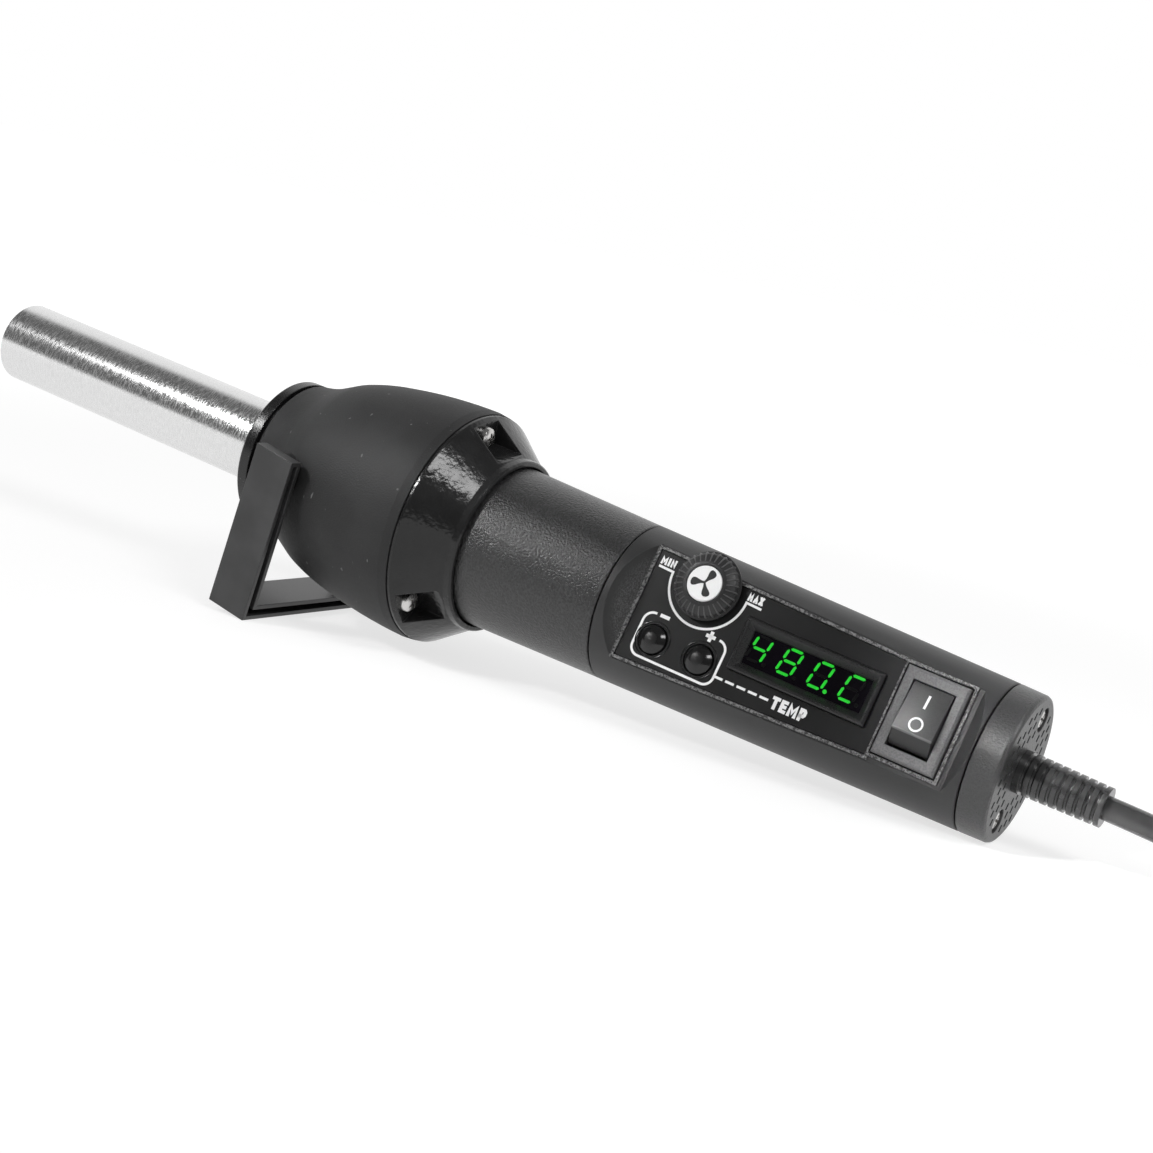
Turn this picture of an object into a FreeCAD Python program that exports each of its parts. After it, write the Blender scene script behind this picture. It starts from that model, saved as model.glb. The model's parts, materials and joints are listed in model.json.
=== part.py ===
"""Hand-held hot air tool with a digital control panel, a fold-out stand and a mains cord.

The tool is drawn lying along X: the nozzle mouth is at x = 0 and the cord leaves at the rear.
Pieces of the control panel are drawn in the panel frame, where +Z is the panel's outward normal,
and are then rolled about the tool's axis. The finished tool is tilted onto its stand foot and
the rim of its end cap, and its origin is put under the middle of the object, on the bench.
"""
import FreeCAD, Part

import math
import os

V = FreeCAD.Vector
ORIGIN = V(0, 0, 0)
X_AXIS = V(1, 0, 0)
Y_AXIS = V(0, 1, 0)
Z_AXIS = V(0, 0, 1)
FAR = 60.0                       # larger than any half width of the tool

# ---- clearances -------------------------------------------------------------------------
SEAT_GAP = 0.3                   # loose seat inside one body
RUN_GAP = 0.05                   # radial running fit of a shaft or pin
SEAM = 0.3                       # visible joint between two mouldings

# ---- stance -----------------------------------------------------------------------------
PANEL_RISE = 18.0                # degrees that the panel's normal points above horizontal
ROLL = 90.0 - PANEL_RISE
STAND_LEAN = 6.5                 # degrees that the stand leans forward of the tool's perpendicular

# ---- nozzle and heater ------------------------------------------------------------------
TUBE_R = 11.0
TUBE_WALL = 0.8
TUBE_FREE = 97.0                 # length of tube in front of the collar
TUBE_SEAT_STEP = 0.25            # the seat inside the bell is turned down by this much
TUBE_FLANGE_R = 14.0
MICA_WALL = 0.45
CORE_FRONT = 14.0
CORE_LENGTH = 88.0
CORE_BORES = 6
CORE_EDGE = 1.25                 # core material outside its bores
CORE_WEB = 1.1                   # and between two of them
PROBE_R = 1.4

# ---- collar, bell and its clamp plate ---------------------------------------------------
COLLAR_T = 3.5
COLLAR_R = 20.2
COLLAR_GROOVE = 0.8
COLLAR_SPIGOT_R = 14.9
BELL_LENGTH = 53.4
NECK_R = 21.4
NECK_FRONT_R = 20.3
# share of the length, and steepness of the surface there in mean slopes
BELL_SHAPE = ((0.013, 0.85), (0.2, 3.0), (0.265, 3.0), (0.31, 1.95), (0.5, 1.0), (0.955, 0.12))
BELL_R = 30.8
BELL_WALL = 2.2
BELL_WEB_T = 2.0
BELL_WEB_AT = 12.2               # front of the bell to the front of its web
PLATE_R = 18.0
PLATE_T = 1.5
PLATE_SCREW_AT = 16.0

# ---- fan and motor ----------------------------------------------------------------------
SHROUD_R = 22.0
SHROUD_WALL = 1.2
SHROUD_FLANGE_T = 1.5
FAN_TIP_GAP = 1.2
FAN_BLADES = 11
FAN_DEPTH = 8.0
FAN_HUB_R = 5.5
FAN_PLATE_T = 1.2
MOTOR_R = 12.0
MOTOR_LENGTH = 24.5
SHAFT_R = 1.0

# ---- rear flange ------------------------------------------------------------------------
FLANGE_LENGTH = 13.5
FLANGE_LIP = 1.0
FLANGE_COLLAR_T = 1.25
POCKET_WIDTH = 10.4
POCKET_FLOOR = 2.0
BELL_SCREW_IN = 5.0              # bell's rim to the middle of its screws
BELL_SCREW_R = 1.5
SCREW_HEAD_R = 2.7
SCREW_HEAD_T = 2.1
SCREW_ANGLES = (60.0, 180.0, 300.0)

# ---- grip and control housing -----------------------------------------------------------
GRIP_LENGTH = 46.2
GRIP_FRONT_R = 21.05
GRIP_REAR_R = 19.85
GRIP_WALL = 2.2
SPIGOT_LENGTH = 4.8
SPIGOT_WALL = 1.6
HOUSING_LENGTH = 94.1
HOUSING_REAR_R = 17.72
HOUSING_WALL = 2.0
PANEL_Z = 13.2                   # height of the flat above the tool's axis
FACET_FRONT = 4.9                # length of the sloped facet in front of the flat
FACET_REAR = 3.9
RIM_WIDTH = 0.75
RIM_HEIGHT = 0.45

# ---- control panel, measured from the front of the housing ------------------------------
FASCIA_FROM = 6.8
FASCIA_LENGTH = 64.9
FASCIA_FRONT_HALF = 13.6
FASCIA_REAR_HALF = 11.4
FASCIA_T = 0.95
FASCIA_RECESS = 0.8
KNOB_AT = 21.7
KNOB_UP = 9.5                    # across the panel, towards the tool's top
KNOB_R = 8.2
KNOB_HEIGHT = 3.1
KNOB_CAP_R = 4.25
KNOB_FLUTES = 24
POT_R = 4.2
POT_SHAFT_R = 2.0
BUTTON_AT = (14.3, 26.8)
BUTTON_UP = -6.9
BUTTON_R = 3.35
BUTTON_RISE = 1.7
BUTTON_TRAVEL = 0.5
DISPLAY_AT = 51.4                # middle of the display
DISPLAY_UP = 0.45
BEZEL_SIZE = (35.0, 12.7)
BEZEL_BEVEL = 1.25
BEZEL_RISE = 1.1
WINDOW_T = 0.8
ROCKER_AT = 80.2
ROCKER_UP = 0.45
ROCKER_FRAME = (15.0, 21.0)
ROCKER_OPENING = (10.3, 15.7)
ROCKER_BODY = (13.0, 19.2, 13.6)
ROCKER_RECESS = 0.6
ROCKER_FRAME_RISE = 1.5
ROCKER_TILT = 10.0               # half of the paddle's travel, in degrees
PADDLE_PIN_R = 1.1

# ---- electronics ------------------------------------------------------------------------
BOARD_T = 1.6
BOARD_DROP = 8.6                 # panel surface down to the main board's top
BOARD_HALF = 13.0
BOARD_STACK = 10.2               # between the two boards
MAINS_EDGE_GAP = 0.84            # the lower board's corners to the housing's wall
POST_R = 1.9

# ---- end cap, strain relief, cord and plug ----------------------------------------------
CAP_LENGTH = 7.1
CAP_FACE_T = 3.0
CAP_EDGE = 0.9
CAP_SPIGOT = 2.7
CAP_SCREW_AT = 12.2
CAP_SCREW_R = 1.4
CAP_SCREW_SINK = 1.9
SLOT = (1.7, 1.05)
SLOT_PITCH = (3.3, 2.6)
BOOT_R = 5.0
BOOT_END_R = 4.6
BOOT_LENGTH = 20.1
BOOT_RIBS = 9
CORD_R = 2.75
COIL_MID_R = 31.0
COIL_ROWS = 3
COIL_LAYERS = 2
PLUG_WIDTH = 35.3
PLUG_THICKNESS = 13.7
PLUG_LENGTH = 33.0
PLUG_PIN_R = 2.0
PLUG_PIN_LENGTH = 19.0
PLUG_PIN_SPACING = 18.6

# ---- stand ------------------------------------------------------------------------------
STAND_WIDTH = 11.7
STAND_TOP_OUT = 1.6              # arms' square ends outside the bell's rim
STAND_FOOT_IN = 2.3
STAND_T = 3.9
STAND_WALL = 1.1
STAND_LEG = 39.0                 # pivot down to the underside of the foot
STAND_HEAD = 5.0                 # pivot up to the arms' square ends
PIVOT_BEHIND_BELL_FRONT = 14.7
PIVOT_RAISE = 2.0
PIVOT_R = 2.5
PIVOT_BOSS_R = 4.6

# ---- stations along the tool ------------------------------------------------------------
COLLAR_X = TUBE_FREE
BELL_X = COLLAR_X + COLLAR_T + COLLAR_GROOVE
WEB_X = BELL_X + BELL_WEB_AT
PLATE_X = WEB_X + BELL_WEB_T + TUBE_WALL
BELL_RIM_X = BELL_X + BELL_LENGTH
FLANGE_END_X = BELL_RIM_X + FLANGE_LENGTH
GRIP_X = BELL_RIM_X + 5.8
HOUSING_X = GRIP_X + GRIP_LENGTH
CAP_X = HOUSING_X + HOUSING_LENGTH
CAP_FACE_X = CAP_X + CAP_LENGTH
BOOT_END_X = CAP_FACE_X + BOOT_LENGTH
SHROUD_FLANGE_X = BELL_RIM_X - SHROUD_FLANGE_T
MOTOR_X = BELL_RIM_X - 13.7
FAN_X = MOTOR_X - 2.5
BELL_SCREW_AT = BELL_R - BELL_SCREW_IN
STAND_TOP_HALF = BELL_R + STAND_TOP_OUT
STAND_FOOT_HALF = BELL_R - STAND_FOOT_IN
SPIGOT_R = GRIP_REAR_R - HOUSING_WALL - 0.2
BOARD_TOP = PANEL_Z - BOARD_DROP
MAINS_TOP = BOARD_TOP - BOARD_T - BOARD_STACK
FASCIA_TOP = PANEL_Z - FASCIA_RECESS + FASCIA_T
INNER_FLAT = PANEL_Z - HOUSING_WALL
PIVOT_X = BELL_X + PIVOT_BEHIND_BELL_FRONT


# ---- drawing helpers --------------------------------------------------------------------
def polygon(points):
    """A closed flat face through the given vectors."""
    return Part.Face(Part.makePolygon(list(points) + [points[0]]))


def turned(outline):
    """Turn a closed outline of (x, radius) points about the tool's axis."""
    return polygon([V(x, 0, r) for x, r in outline]).revolve(ORIGIN, X_AXIS, 360)


def rod(x0, x1, radius, y=0.0, z=0.0):
    """A round bar along X."""
    return Part.makeCylinder(radius, x1 - x0, V(x0, y, z), X_AXIS)


def post(radius, z0, z1, x, y):
    """A round bar along the panel's normal."""
    return Part.makeCylinder(radius, z1 - z0, V(x, y, z0), Z_AXIS)


def block(x_span, y_span, z_span):
    """A box from three (low, high) pairs."""
    size = [high - low for low, high in (x_span, y_span, z_span)]
    return Part.makeBox(size[0], size[1], size[2], V(x_span[0], y_span[0], z_span[0]))


def centred(middle, size):
    """The (low, high) pair of a length about its middle."""
    return (middle - size / 2, middle + size / 2)


def side_prism(outline, half_width):
    """Extrude an outline of (x, z) points across the tool."""
    face = polygon([V(x, -half_width, z) for x, z in outline])
    return face.extrude(V(0, 2 * half_width, 0))


def plate(outline, z0, z1):
    """Extrude an outline of (x, y) points along the panel's normal."""
    return polygon([V(x, y, z0) for x, y in outline]).extrude(V(0, 0, z1 - z0))


def spun(shape, angle):
    """A copy turned about the tool's axis."""
    copy = shape.copy()
    copy.rotate(ORIGIN, X_AXIS, angle)
    return copy


def rolled(shape):
    """From the panel frame to the upright tool frame."""
    return spun(shape, ROLL)


def ring_of(shape, angles):
    """Copies of one shape about the tool's axis."""
    return [spun(shape, angle) for angle in angles]


def even_angles(count, first=0.0):
    """Equal steps round a full turn."""
    return [first + 360.0 * i / count for i in range(count)]


def taper(r0, r1, x0, x1, x):
    """Radius at x of a cone that runs from r0 at x0 to r1 at x1."""
    return r0 + (r1 - r0) * (x - x0) / (x1 - x0)


# ---- nozzle and heater ------------------------------------------------------------------
TUBE_BORE = TUBE_R - TUBE_WALL
MICA_R = TUBE_BORE - 0.25
CORE_R = MICA_R - MICA_WALL - 0.25
BORE_SPREAD = 2 * math.sin(math.pi / CORE_BORES)
CORE_BORE_R = ((CORE_R - CORE_EDGE) * BORE_SPREAD - CORE_WEB) / (2 + BORE_SPREAD)
CORE_PITCH_R = CORE_R - CORE_BORE_R - CORE_EDGE
CORE_END = CORE_FRONT + CORE_LENGTH


def nozzle_tube():
    back = WEB_X + BELL_WEB_T
    seat_r = TUBE_R - TUBE_SEAT_STEP
    return turned([(0, TUBE_BORE), (0, TUBE_R - 0.25), (0.25, TUBE_R), (COLLAR_X - 0.5, TUBE_R),
                   (COLLAR_X - 0.5, seat_r), (back, seat_r), (back, TUBE_FLANGE_R), (back + TUBE_WALL, TUBE_FLANGE_R),
                   (back + TUBE_WALL, TUBE_BORE)])


def mica_sleeve():
    sleeve = rod(CORE_FRONT - 4, CORE_END + 6, MICA_R)
    return sleeve.cut(rod(0, PLATE_X, MICA_R - MICA_WALL))


def core_bores(radius, x0, x1):
    bar = rod(x0, x1, radius, 0, CORE_PITCH_R)
    return ring_of(bar, even_angles(CORE_BORES))


def heater_core():
    core = rod(CORE_FRONT, CORE_END, CORE_R)
    channel = rod(0, PLATE_X, PROBE_R + SEAT_GAP)
    return core.cut([channel] + core_bores(CORE_BORE_R, 0, PLATE_X))


def heater_coils():
    return Part.makeCompound(core_bores(CORE_BORE_R - SEAT_GAP, CORE_FRONT + 2, CORE_END - 1))


def thermocouple():
    tip = Part.makeSphere(PROBE_R, V(CORE_FRONT - 2, 0, 0))
    return rod(CORE_FRONT - 2, CORE_END + 3, PROBE_R).fuse(tip).removeSplitter()


def terminal_disc():
    disc = rod(CORE_END, CORE_END + 2.5, CORE_R)
    holes = core_bores(CORE_BORE_R - 0.5, CORE_END - 1, CORE_END + 4)
    return disc.cut([rod(CORE_END - 1, CORE_END + 4, PROBE_R + SEAT_GAP)] + holes)


# ---- collar, bell and clamp plate -------------------------------------------------------
def collar_ring():
    back = COLLAR_X + COLLAR_T
    step = back + COLLAR_GROOVE
    bore = TUBE_R + 0.5
    end = step + 5.7
    return turned([(COLLAR_X, bore), (COLLAR_X, COLLAR_R - 0.7), (COLLAR_X + 0.7, COLLAR_R), (back, COLLAR_R),
                   (back, COLLAR_R - 1.4), (step, COLLAR_R - 1.4), (step, COLLAR_SPIGOT_R),
                   (end, COLLAR_SPIGOT_R), (end, COLLAR_SPIGOT_R - 1.5), (back, COLLAR_SPIGOT_R - 1.5),
                   (back, bore)])


def bell_stations():
    """Points and surface slopes (radians) of the bell from its neck to its rim."""
    mean_slope = (BELL_R - NECK_FRONT_R) / BELL_LENGTH
    slopes = [math.atan(steepness * mean_slope) for _, steepness in BELL_SHAPE]
    xs = [BELL_X + BELL_LENGTH * share for share, _ in BELL_SHAPE]
    rises = [0.0]
    for i in range(1, len(xs)):
        rises.append(rises[-1] + (xs[i] - xs[i - 1]) * math.tan((slopes[i] + slopes[i - 1]) / 2))
    scale = (BELL_R - NECK_FRONT_R) / rises[-1]
    points = [V(x, 0, NECK_FRONT_R + scale * rise) for x, rise in zip(xs, rises)]
    return points, slopes


def bell_solid():
    """The bell filled to the axis: straight and round stretches that run into each other."""
    points, slopes = bell_stations()
    points[0].x = BELL_X + 0.7
    rim = V(BELL_RIM_X, 0, points[-1].z - 0.3)
    foot = V(BELL_X, 0, 0)
    edge = V(BELL_X, 0, points[0].z - 0.7)
    edges = [Part.makeLine(foot, edge), Part.makeLine(edge, points[0])]
    for start, end, turn in zip(points, points[1:], [b - a for a, b in zip(slopes, slopes[1:])]):
        chord = end - start
        bulge = V(chord.z, 0, -chord.x) * (math.tan(turn / 4) / 2)
        edges.append(Part.Arc(start, (start + end) / 2 + bulge, end).toShape() if turn else Part.makeLine(start, end))
    edges += [Part.makeLine(points[-1], rim), Part.makeLine(rim, V(BELL_RIM_X, 0, 0)),
              Part.makeLine(V(BELL_RIM_X, 0, 0), foot)]
    return Part.Face(Part.Wire(edges)).revolve(ORIGIN, X_AXIS, 360)


def bell_hollow():
    """The room inside the bell, set in by its wall, in plain cones."""
    points, _ = bell_stations()
    wall = [(point.x, point.z - BELL_WALL) for point in points[1:]]
    front = BELL_X + 2.4
    return turned([(front, 0), (front, NECK_FRONT_R - BELL_WALL)] + wall
                  + [(BELL_RIM_X, wall[-1][1] - 0.3), (BELL_RIM_X, 0)])


def pivot_bar(radius, inner, outer):
    """Round bars on the stand's pivot axis, one on each side of the tool."""
    place = V(PIVOT_X, inner, PIVOT_RAISE)
    bar = Part.makeCylinder(radius, outer - inner, place, Y_AXIS)
    return [bar, bar.mirror(ORIGIN, Y_AXIS)]


def front_bell():
    outer = bell_solid()
    web = rod(WEB_X, WEB_X + BELL_WEB_T, BELL_R).common(outer)
    boss = rod(BELL_RIM_X - 10.5, SHROUD_FLANGE_X, BELL_SCREW_R + 1.7, 0, BELL_SCREW_AT)
    bosses = [rolled(one).common(outer) for one in ring_of(boss, SCREW_ANGLES)]
    boss_face = arm_inner_half(PIVOT_RAISE - PIVOT_BOSS_R) - SEAT_GAP
    cheeks = pivot_bar(PIVOT_BOSS_R, NECK_R, boss_face)
    shell = outer.cut(bell_hollow()).fuse([web] + bosses + cheeks)
    pilot = rod(BELL_RIM_X - 9.5, BELL_RIM_X, BELL_SCREW_R, 0, BELL_SCREW_AT)
    plate_hole = rod(WEB_X - 1, PLATE_X, 1.3, 0, PLATE_SCREW_AT)
    holes = [rolled(one) for one in ring_of(pilot, SCREW_ANGLES)]
    holes += ring_of(plate_hole, even_angles(3))
    holes += pivot_bar(PIVOT_R + RUN_GAP, NECK_R - 2.5, FAR)
    holes.append(rod(BELL_X - 1, BELL_X + 4, COLLAR_SPIGOT_R + 0.1))
    holes.append(rod(WEB_X - 1, PLATE_X, TUBE_R + SEAT_GAP))
    return shell.cut(holes).removeSplitter()


def tube_clamp_plate():
    disc = rod(PLATE_X, PLATE_X + PLATE_T, PLATE_R)
    hole = rod(PLATE_X - 1, PLATE_X + 4, 1.5, 0, PLATE_SCREW_AT)
    return disc.cut([rod(PLATE_X - 1, PLATE_X + 4, TUBE_BORE)] + ring_of(hole, even_angles(3)))


def clamp_screws():
    head_x = PLATE_X + PLATE_T
    screw = rod(head_x, head_x + 1.5, 2.2, 0, PLATE_SCREW_AT)
    screw = screw.fuse(rod(WEB_X + 0.3, head_x, 1.25, 0, PLATE_SCREW_AT)).removeSplitter()
    return Part.makeCompound(ring_of(screw, even_angles(3)))


# ---- fan and motor ----------------------------------------------------------------------
SHROUD_BORE = SHROUD_R - SHROUD_WALL
FAN_R = SHROUD_BORE - FAN_TIP_GAP


def fan_shroud():
    throat_x = PLATE_X + PLATE_T
    throat_r = TUBE_BORE + 0.2
    mouth_x = FAN_X - FAN_DEPTH - 1.0
    shell = turned([(throat_x, throat_r), (throat_x + 2.6, throat_r), (mouth_x, SHROUD_BORE),
                    (BELL_RIM_X, SHROUD_BORE), (BELL_RIM_X, BELL_R - BELL_WALL - 0.6),
                    (SHROUD_FLANGE_X, BELL_R - BELL_WALL - 0.6), (SHROUD_FLANGE_X, SHROUD_R),
                    (mouth_x - 0.5, SHROUD_R), (throat_x + 2.0, throat_r + SHROUD_WALL),
                    (throat_x, throat_r + SHROUD_WALL)])
    hub_span = (BELL_RIM_X - 5.2, BELL_RIM_X)
    hub_r = MOTOR_R + RUN_GAP
    hub = rod(hub_span[0], hub_span[1], hub_r + 1.8).cut(rod(hub_span[0], hub_span[1], hub_r))
    spoke = block(hub_span, (-1.2, 1.2), (hub_r + 1.0, SHROUD_BORE + 0.4))
    hole = rod(SHROUD_FLANGE_X - 1, BELL_RIM_X + 1, BELL_SCREW_R + 0.2, 0, BELL_SCREW_AT)
    return shell.fuse([hub] + ring_of(spoke, even_angles(3))).cut(ring_of(hole, SCREW_ANGLES)).removeSplitter()


def fan_impeller():
    front = FAN_X - FAN_DEPTH
    disc = rod(FAN_X - FAN_PLATE_T, FAN_X, FAN_R)
    hub = turned([(front, 0), (front, FAN_HUB_R - 1.5), (front + 1.5, FAN_HUB_R), (FAN_X, FAN_HUB_R), (FAN_X, 0)])
    arc_r = 0.62 * FAN_R
    ring = rod(front + 1.0, FAN_X - FAN_PLATE_T, arc_r + 0.45, 0, arc_r)
    ring = ring.cut(rod(front, FAN_X, arc_r - 0.45, 0, arc_r))
    reach = rod(front, FAN_X, FAN_R).cut(rod(front, FAN_X, FAN_HUB_R - 0.5))
    blade = ring.common(reach).common(block((front, FAN_X), (0, FAR), (-FAR, FAR)))
    wheel = disc.fuse([hub] + ring_of(blade, even_angles(FAN_BLADES)))
    return wheel.cut(rod(front - 1, FAN_X + 1, SHAFT_R)).removeSplitter()


def motor_can():
    end = MOTOR_X + MOTOR_LENGTH
    can = turned([(MOTOR_X - 1.2, 0), (MOTOR_X - 1.2, 3.2), (MOTOR_X, 3.2), (MOTOR_X, MOTOR_R - 0.8),
                  (MOTOR_X + 0.8, MOTOR_R), (end - 0.8, MOTOR_R), (end, MOTOR_R - 0.8), (end, 0)])
    return can.cut(rod(MOTOR_X - 3, end - 2, SHAFT_R + RUN_GAP))


def motor_shaft():
    return rod(FAN_X - FAN_DEPTH - 1.2, MOTOR_X + MOTOR_LENGTH - 3, SHAFT_R)


# ---- rear flange with its screws --------------------------------------------------------
def rear_flange():
    lip_r = BELL_R - 0.5
    collar_r = GRIP_FRONT_R + SEAT_GAP + FLANGE_COLLAR_T
    bore = GRIP_FRONT_R + SEAT_GAP
    body = turned([(BELL_RIM_X, GRIP_FRONT_R - 2.0), (BELL_RIM_X, lip_r - 0.3), (BELL_RIM_X + 0.3, lip_r),
                   (BELL_RIM_X + FLANGE_LIP, lip_r), (FLANGE_END_X - 2.0, collar_r + 0.2),
                   (FLANGE_END_X - 0.4, collar_r), (FLANGE_END_X, collar_r - 0.4), (FLANGE_END_X, bore),
                   (GRIP_X, bore), (GRIP_X, GRIP_FRONT_R - 2.0)])
    core = turned([(BELL_RIM_X - 1, bore + 1.2), (BELL_RIM_X - 1, lip_r - 2.4), (BELL_RIM_X + 1.2, lip_r - 2.4),
                   (GRIP_X - 1.6, lip_r - 5.2), (GRIP_X - 1.6, bore + 1.2)])
    wall = block((BELL_RIM_X - 2, GRIP_X), centred(0, POCKET_WIDTH + 2.4), (0, FAR))
    core = core.cut(ring_of(wall, SCREW_ANGLES))
    floor_x = BELL_RIM_X + POCKET_FLOOR
    pocket = block((floor_x, FLANGE_END_X + 1), centred(0, POCKET_WIDTH), (collar_r + 0.3, FAR))
    hole = rod(BELL_RIM_X - 1, floor_x + 1, BELL_SCREW_R + 0.2, 0, BELL_SCREW_AT)
    return body.cut([core] + ring_of(pocket, SCREW_ANGLES) + ring_of(hole, SCREW_ANGLES)).removeSplitter()


def pan_screw(head_x, tip_x, shank_r, radius):
    """A pan-head screw along the tool, its head to the rear."""
    x1 = head_x + SCREW_HEAD_T
    outline = [(tip_x, 0), (tip_x, shank_r), (head_x, shank_r), (head_x, SCREW_HEAD_R),
               (head_x + 0.9, SCREW_HEAD_R), (x1 - 0.3, SCREW_HEAD_R - 0.8), (x1, SCREW_HEAD_R - 1.7), (x1, 0)]
    screw = turned(outline)
    screw.translate(V(0, 0, radius))
    return screw


def bell_screws():
    screw = pan_screw(BELL_RIM_X + POCKET_FLOOR, BELL_RIM_X - 8.5, BELL_SCREW_R - RUN_GAP, BELL_SCREW_AT)
    return Part.makeCompound(ring_of(screw, SCREW_ANGLES))


# ---- grip and control housing -----------------------------------------------------------
def grip_sleeve():
    end = HOUSING_X - SEAM / 2
    tip = end + SPIGOT_LENGTH
    inner_end = GRIP_REAR_R - GRIP_WALL
    sleeve = turned([(GRIP_X, GRIP_FRONT_R - GRIP_WALL), (GRIP_X, GRIP_FRONT_R), (end - 0.25, GRIP_REAR_R),
                     (end, GRIP_REAR_R - 0.25), (end, SPIGOT_R), (tip, SPIGOT_R), (tip, SPIGOT_R - SPIGOT_WALL),
                     (end - 3, SPIGOT_R - SPIGOT_WALL), (end - 5, inner_end)])
    return sleeve.cut(flat_tool(HOUSING_WALL + 0.2))


def flat_tool(drop):
    """The prism that planes the control flat and its two end facets off the housing."""
    front_x = HOUSING_X + FASCIA_FROM - RIM_WIDTH / 2
    rear_x = CAP_X - FACET_REAR
    z = PANEL_Z - drop
    rise = GRIP_REAR_R - PANEL_Z + 0.4
    top = z + rise + drop
    return side_prism([(front_x, z), (rear_x, z), (rear_x + FACET_REAR, z + rise - 2.1), (rear_x + FACET_REAR + 1, top),
                       (rear_x + FACET_REAR + 1, FAR), (front_x - FACET_FRONT, FAR),
                       (front_x - FACET_FRONT, z + rise)], FAR / 2)


def fascia_outline(grow):
    x0 = HOUSING_X + FASCIA_FROM
    x1 = x0 + FASCIA_LENGTH
    front = FASCIA_FRONT_HALF + grow
    rear = FASCIA_REAR_HALF + grow
    return [(x0 - grow, -front), (x1 + grow, -rear), (x1 + grow, rear), (x0 - grow, front)]


def rocker_box(size, z_span, grow=0.0):
    """A box centred on the rocker switch."""
    return block(centred(HOUSING_X + ROCKER_AT, size[0] + 2 * grow), centred(ROCKER_UP, size[1] + 2 * grow), z_span)


def display_box(size, z_span, grow=0.0):
    """A box centred on the display."""
    return block(centred(HOUSING_X + DISPLAY_AT, size[0] + 2 * grow), centred(DISPLAY_UP, size[1] + 2 * grow), z_span)


def knob_post(radius, z0, z1):
    return post(radius, z0, z1, HOUSING_X + KNOB_AT, KNOB_UP)


def board_points():
    """Where the main board is screwed to the housing's posts."""
    rear_x = HOUSING_X + FASCIA_FROM + FASCIA_LENGTH - 2.9
    return [(HOUSING_X + 8.8, 11.0), (HOUSING_X + 8.8, -11.0), (rear_x, 10.0), (rear_x, -10.0)]


def control_housing():
    x0 = HOUSING_X + SEAM / 2
    x1 = CAP_X - SEAM / 2
    radii = (GRIP_REAR_R, HOUSING_REAR_R)
    body = turned([(x0, 0), (x0, radii[0] - 0.25), (x0 + 0.25, radii[0]), (x1 - 0.25, radii[1]),
                   (x1, radii[1] - 0.25), (x1, 0)]).cut(flat_tool(0.0))
    hollow = turned([(x0 - 1, 0), (x0 - 1, radii[0] - HOUSING_WALL), (x1 + 1, radii[1] - HOUSING_WALL), (x1 + 1, 0)])
    shell = body.cut(hollow.cut(flat_tool(HOUSING_WALL)))
    rim_top = PANEL_Z + RIM_HEIGHT
    rim = plate(fascia_outline(RIM_WIDTH), PANEL_Z - 0.5, rim_top)
    switch_size = (ROCKER_FRAME[0] + 1.0, ROCKER_FRAME[1] + 0.8)
    switch_rim = rocker_box(switch_size, (PANEL_Z - 0.5, rim_top), RIM_WIDTH)
    ears = [post(POST_R, BOARD_TOP, INNER_FLAT + 0.4, x, y) for x, y in board_points()]
    skin = turned([(x0, 0), (x0, radii[0]), (x1, radii[1]), (x1, 0)])
    lug_x = CAP_X - CAP_SPIGOT - 3.6
    lugs = [rod(lug_x, CAP_X - CAP_SPIGOT, CAP_SCREW_R + 2.4, side * CAP_SCREW_AT).common(skin) for side in (-1, 1)]
    shell = shell.fuse([rim, switch_rim] + ears + lugs)
    cuts = [plate(fascia_outline(0.0), PANEL_Z - FASCIA_RECESS, FAR),
            rocker_box(switch_size, (PANEL_Z - ROCKER_RECESS, FAR)),
            rocker_box(ROCKER_BODY[:2], (0, FAR), 0.1),
            display_box(BEZEL_SIZE, (0, FAR), 0.15 - BEZEL_BEVEL),
            knob_post(POT_SHAFT_R + 0.4, 0, FAR)]
    cuts += [post(BUTTON_R + 0.25, 0, FAR, HOUSING_X + at, BUTTON_UP) for at in BUTTON_AT]
    cuts += [post(1.0, 0, INNER_FLAT - 1.5, x, y) for x, y in board_points()]
    cuts += [rod(lug_x + 0.6, CAP_X, CAP_SCREW_R, side * CAP_SCREW_AT) for side in (-1, 1)]
    return shell.cut(cuts).removeSplitter()


def control_fascia():
    sheet = plate(fascia_outline(-0.1), FASCIA_TOP - FASCIA_T, FASCIA_TOP)
    cuts = [display_box(BEZEL_SIZE, (0, FAR), 0.1), knob_post(POT_SHAFT_R + 0.4, 0, FAR)]
    cuts += [post(BUTTON_R + 0.4, 0, FAR, HOUSING_X + at, BUTTON_UP) for at in BUTTON_AT]
    return sheet.cut(cuts)


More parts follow.
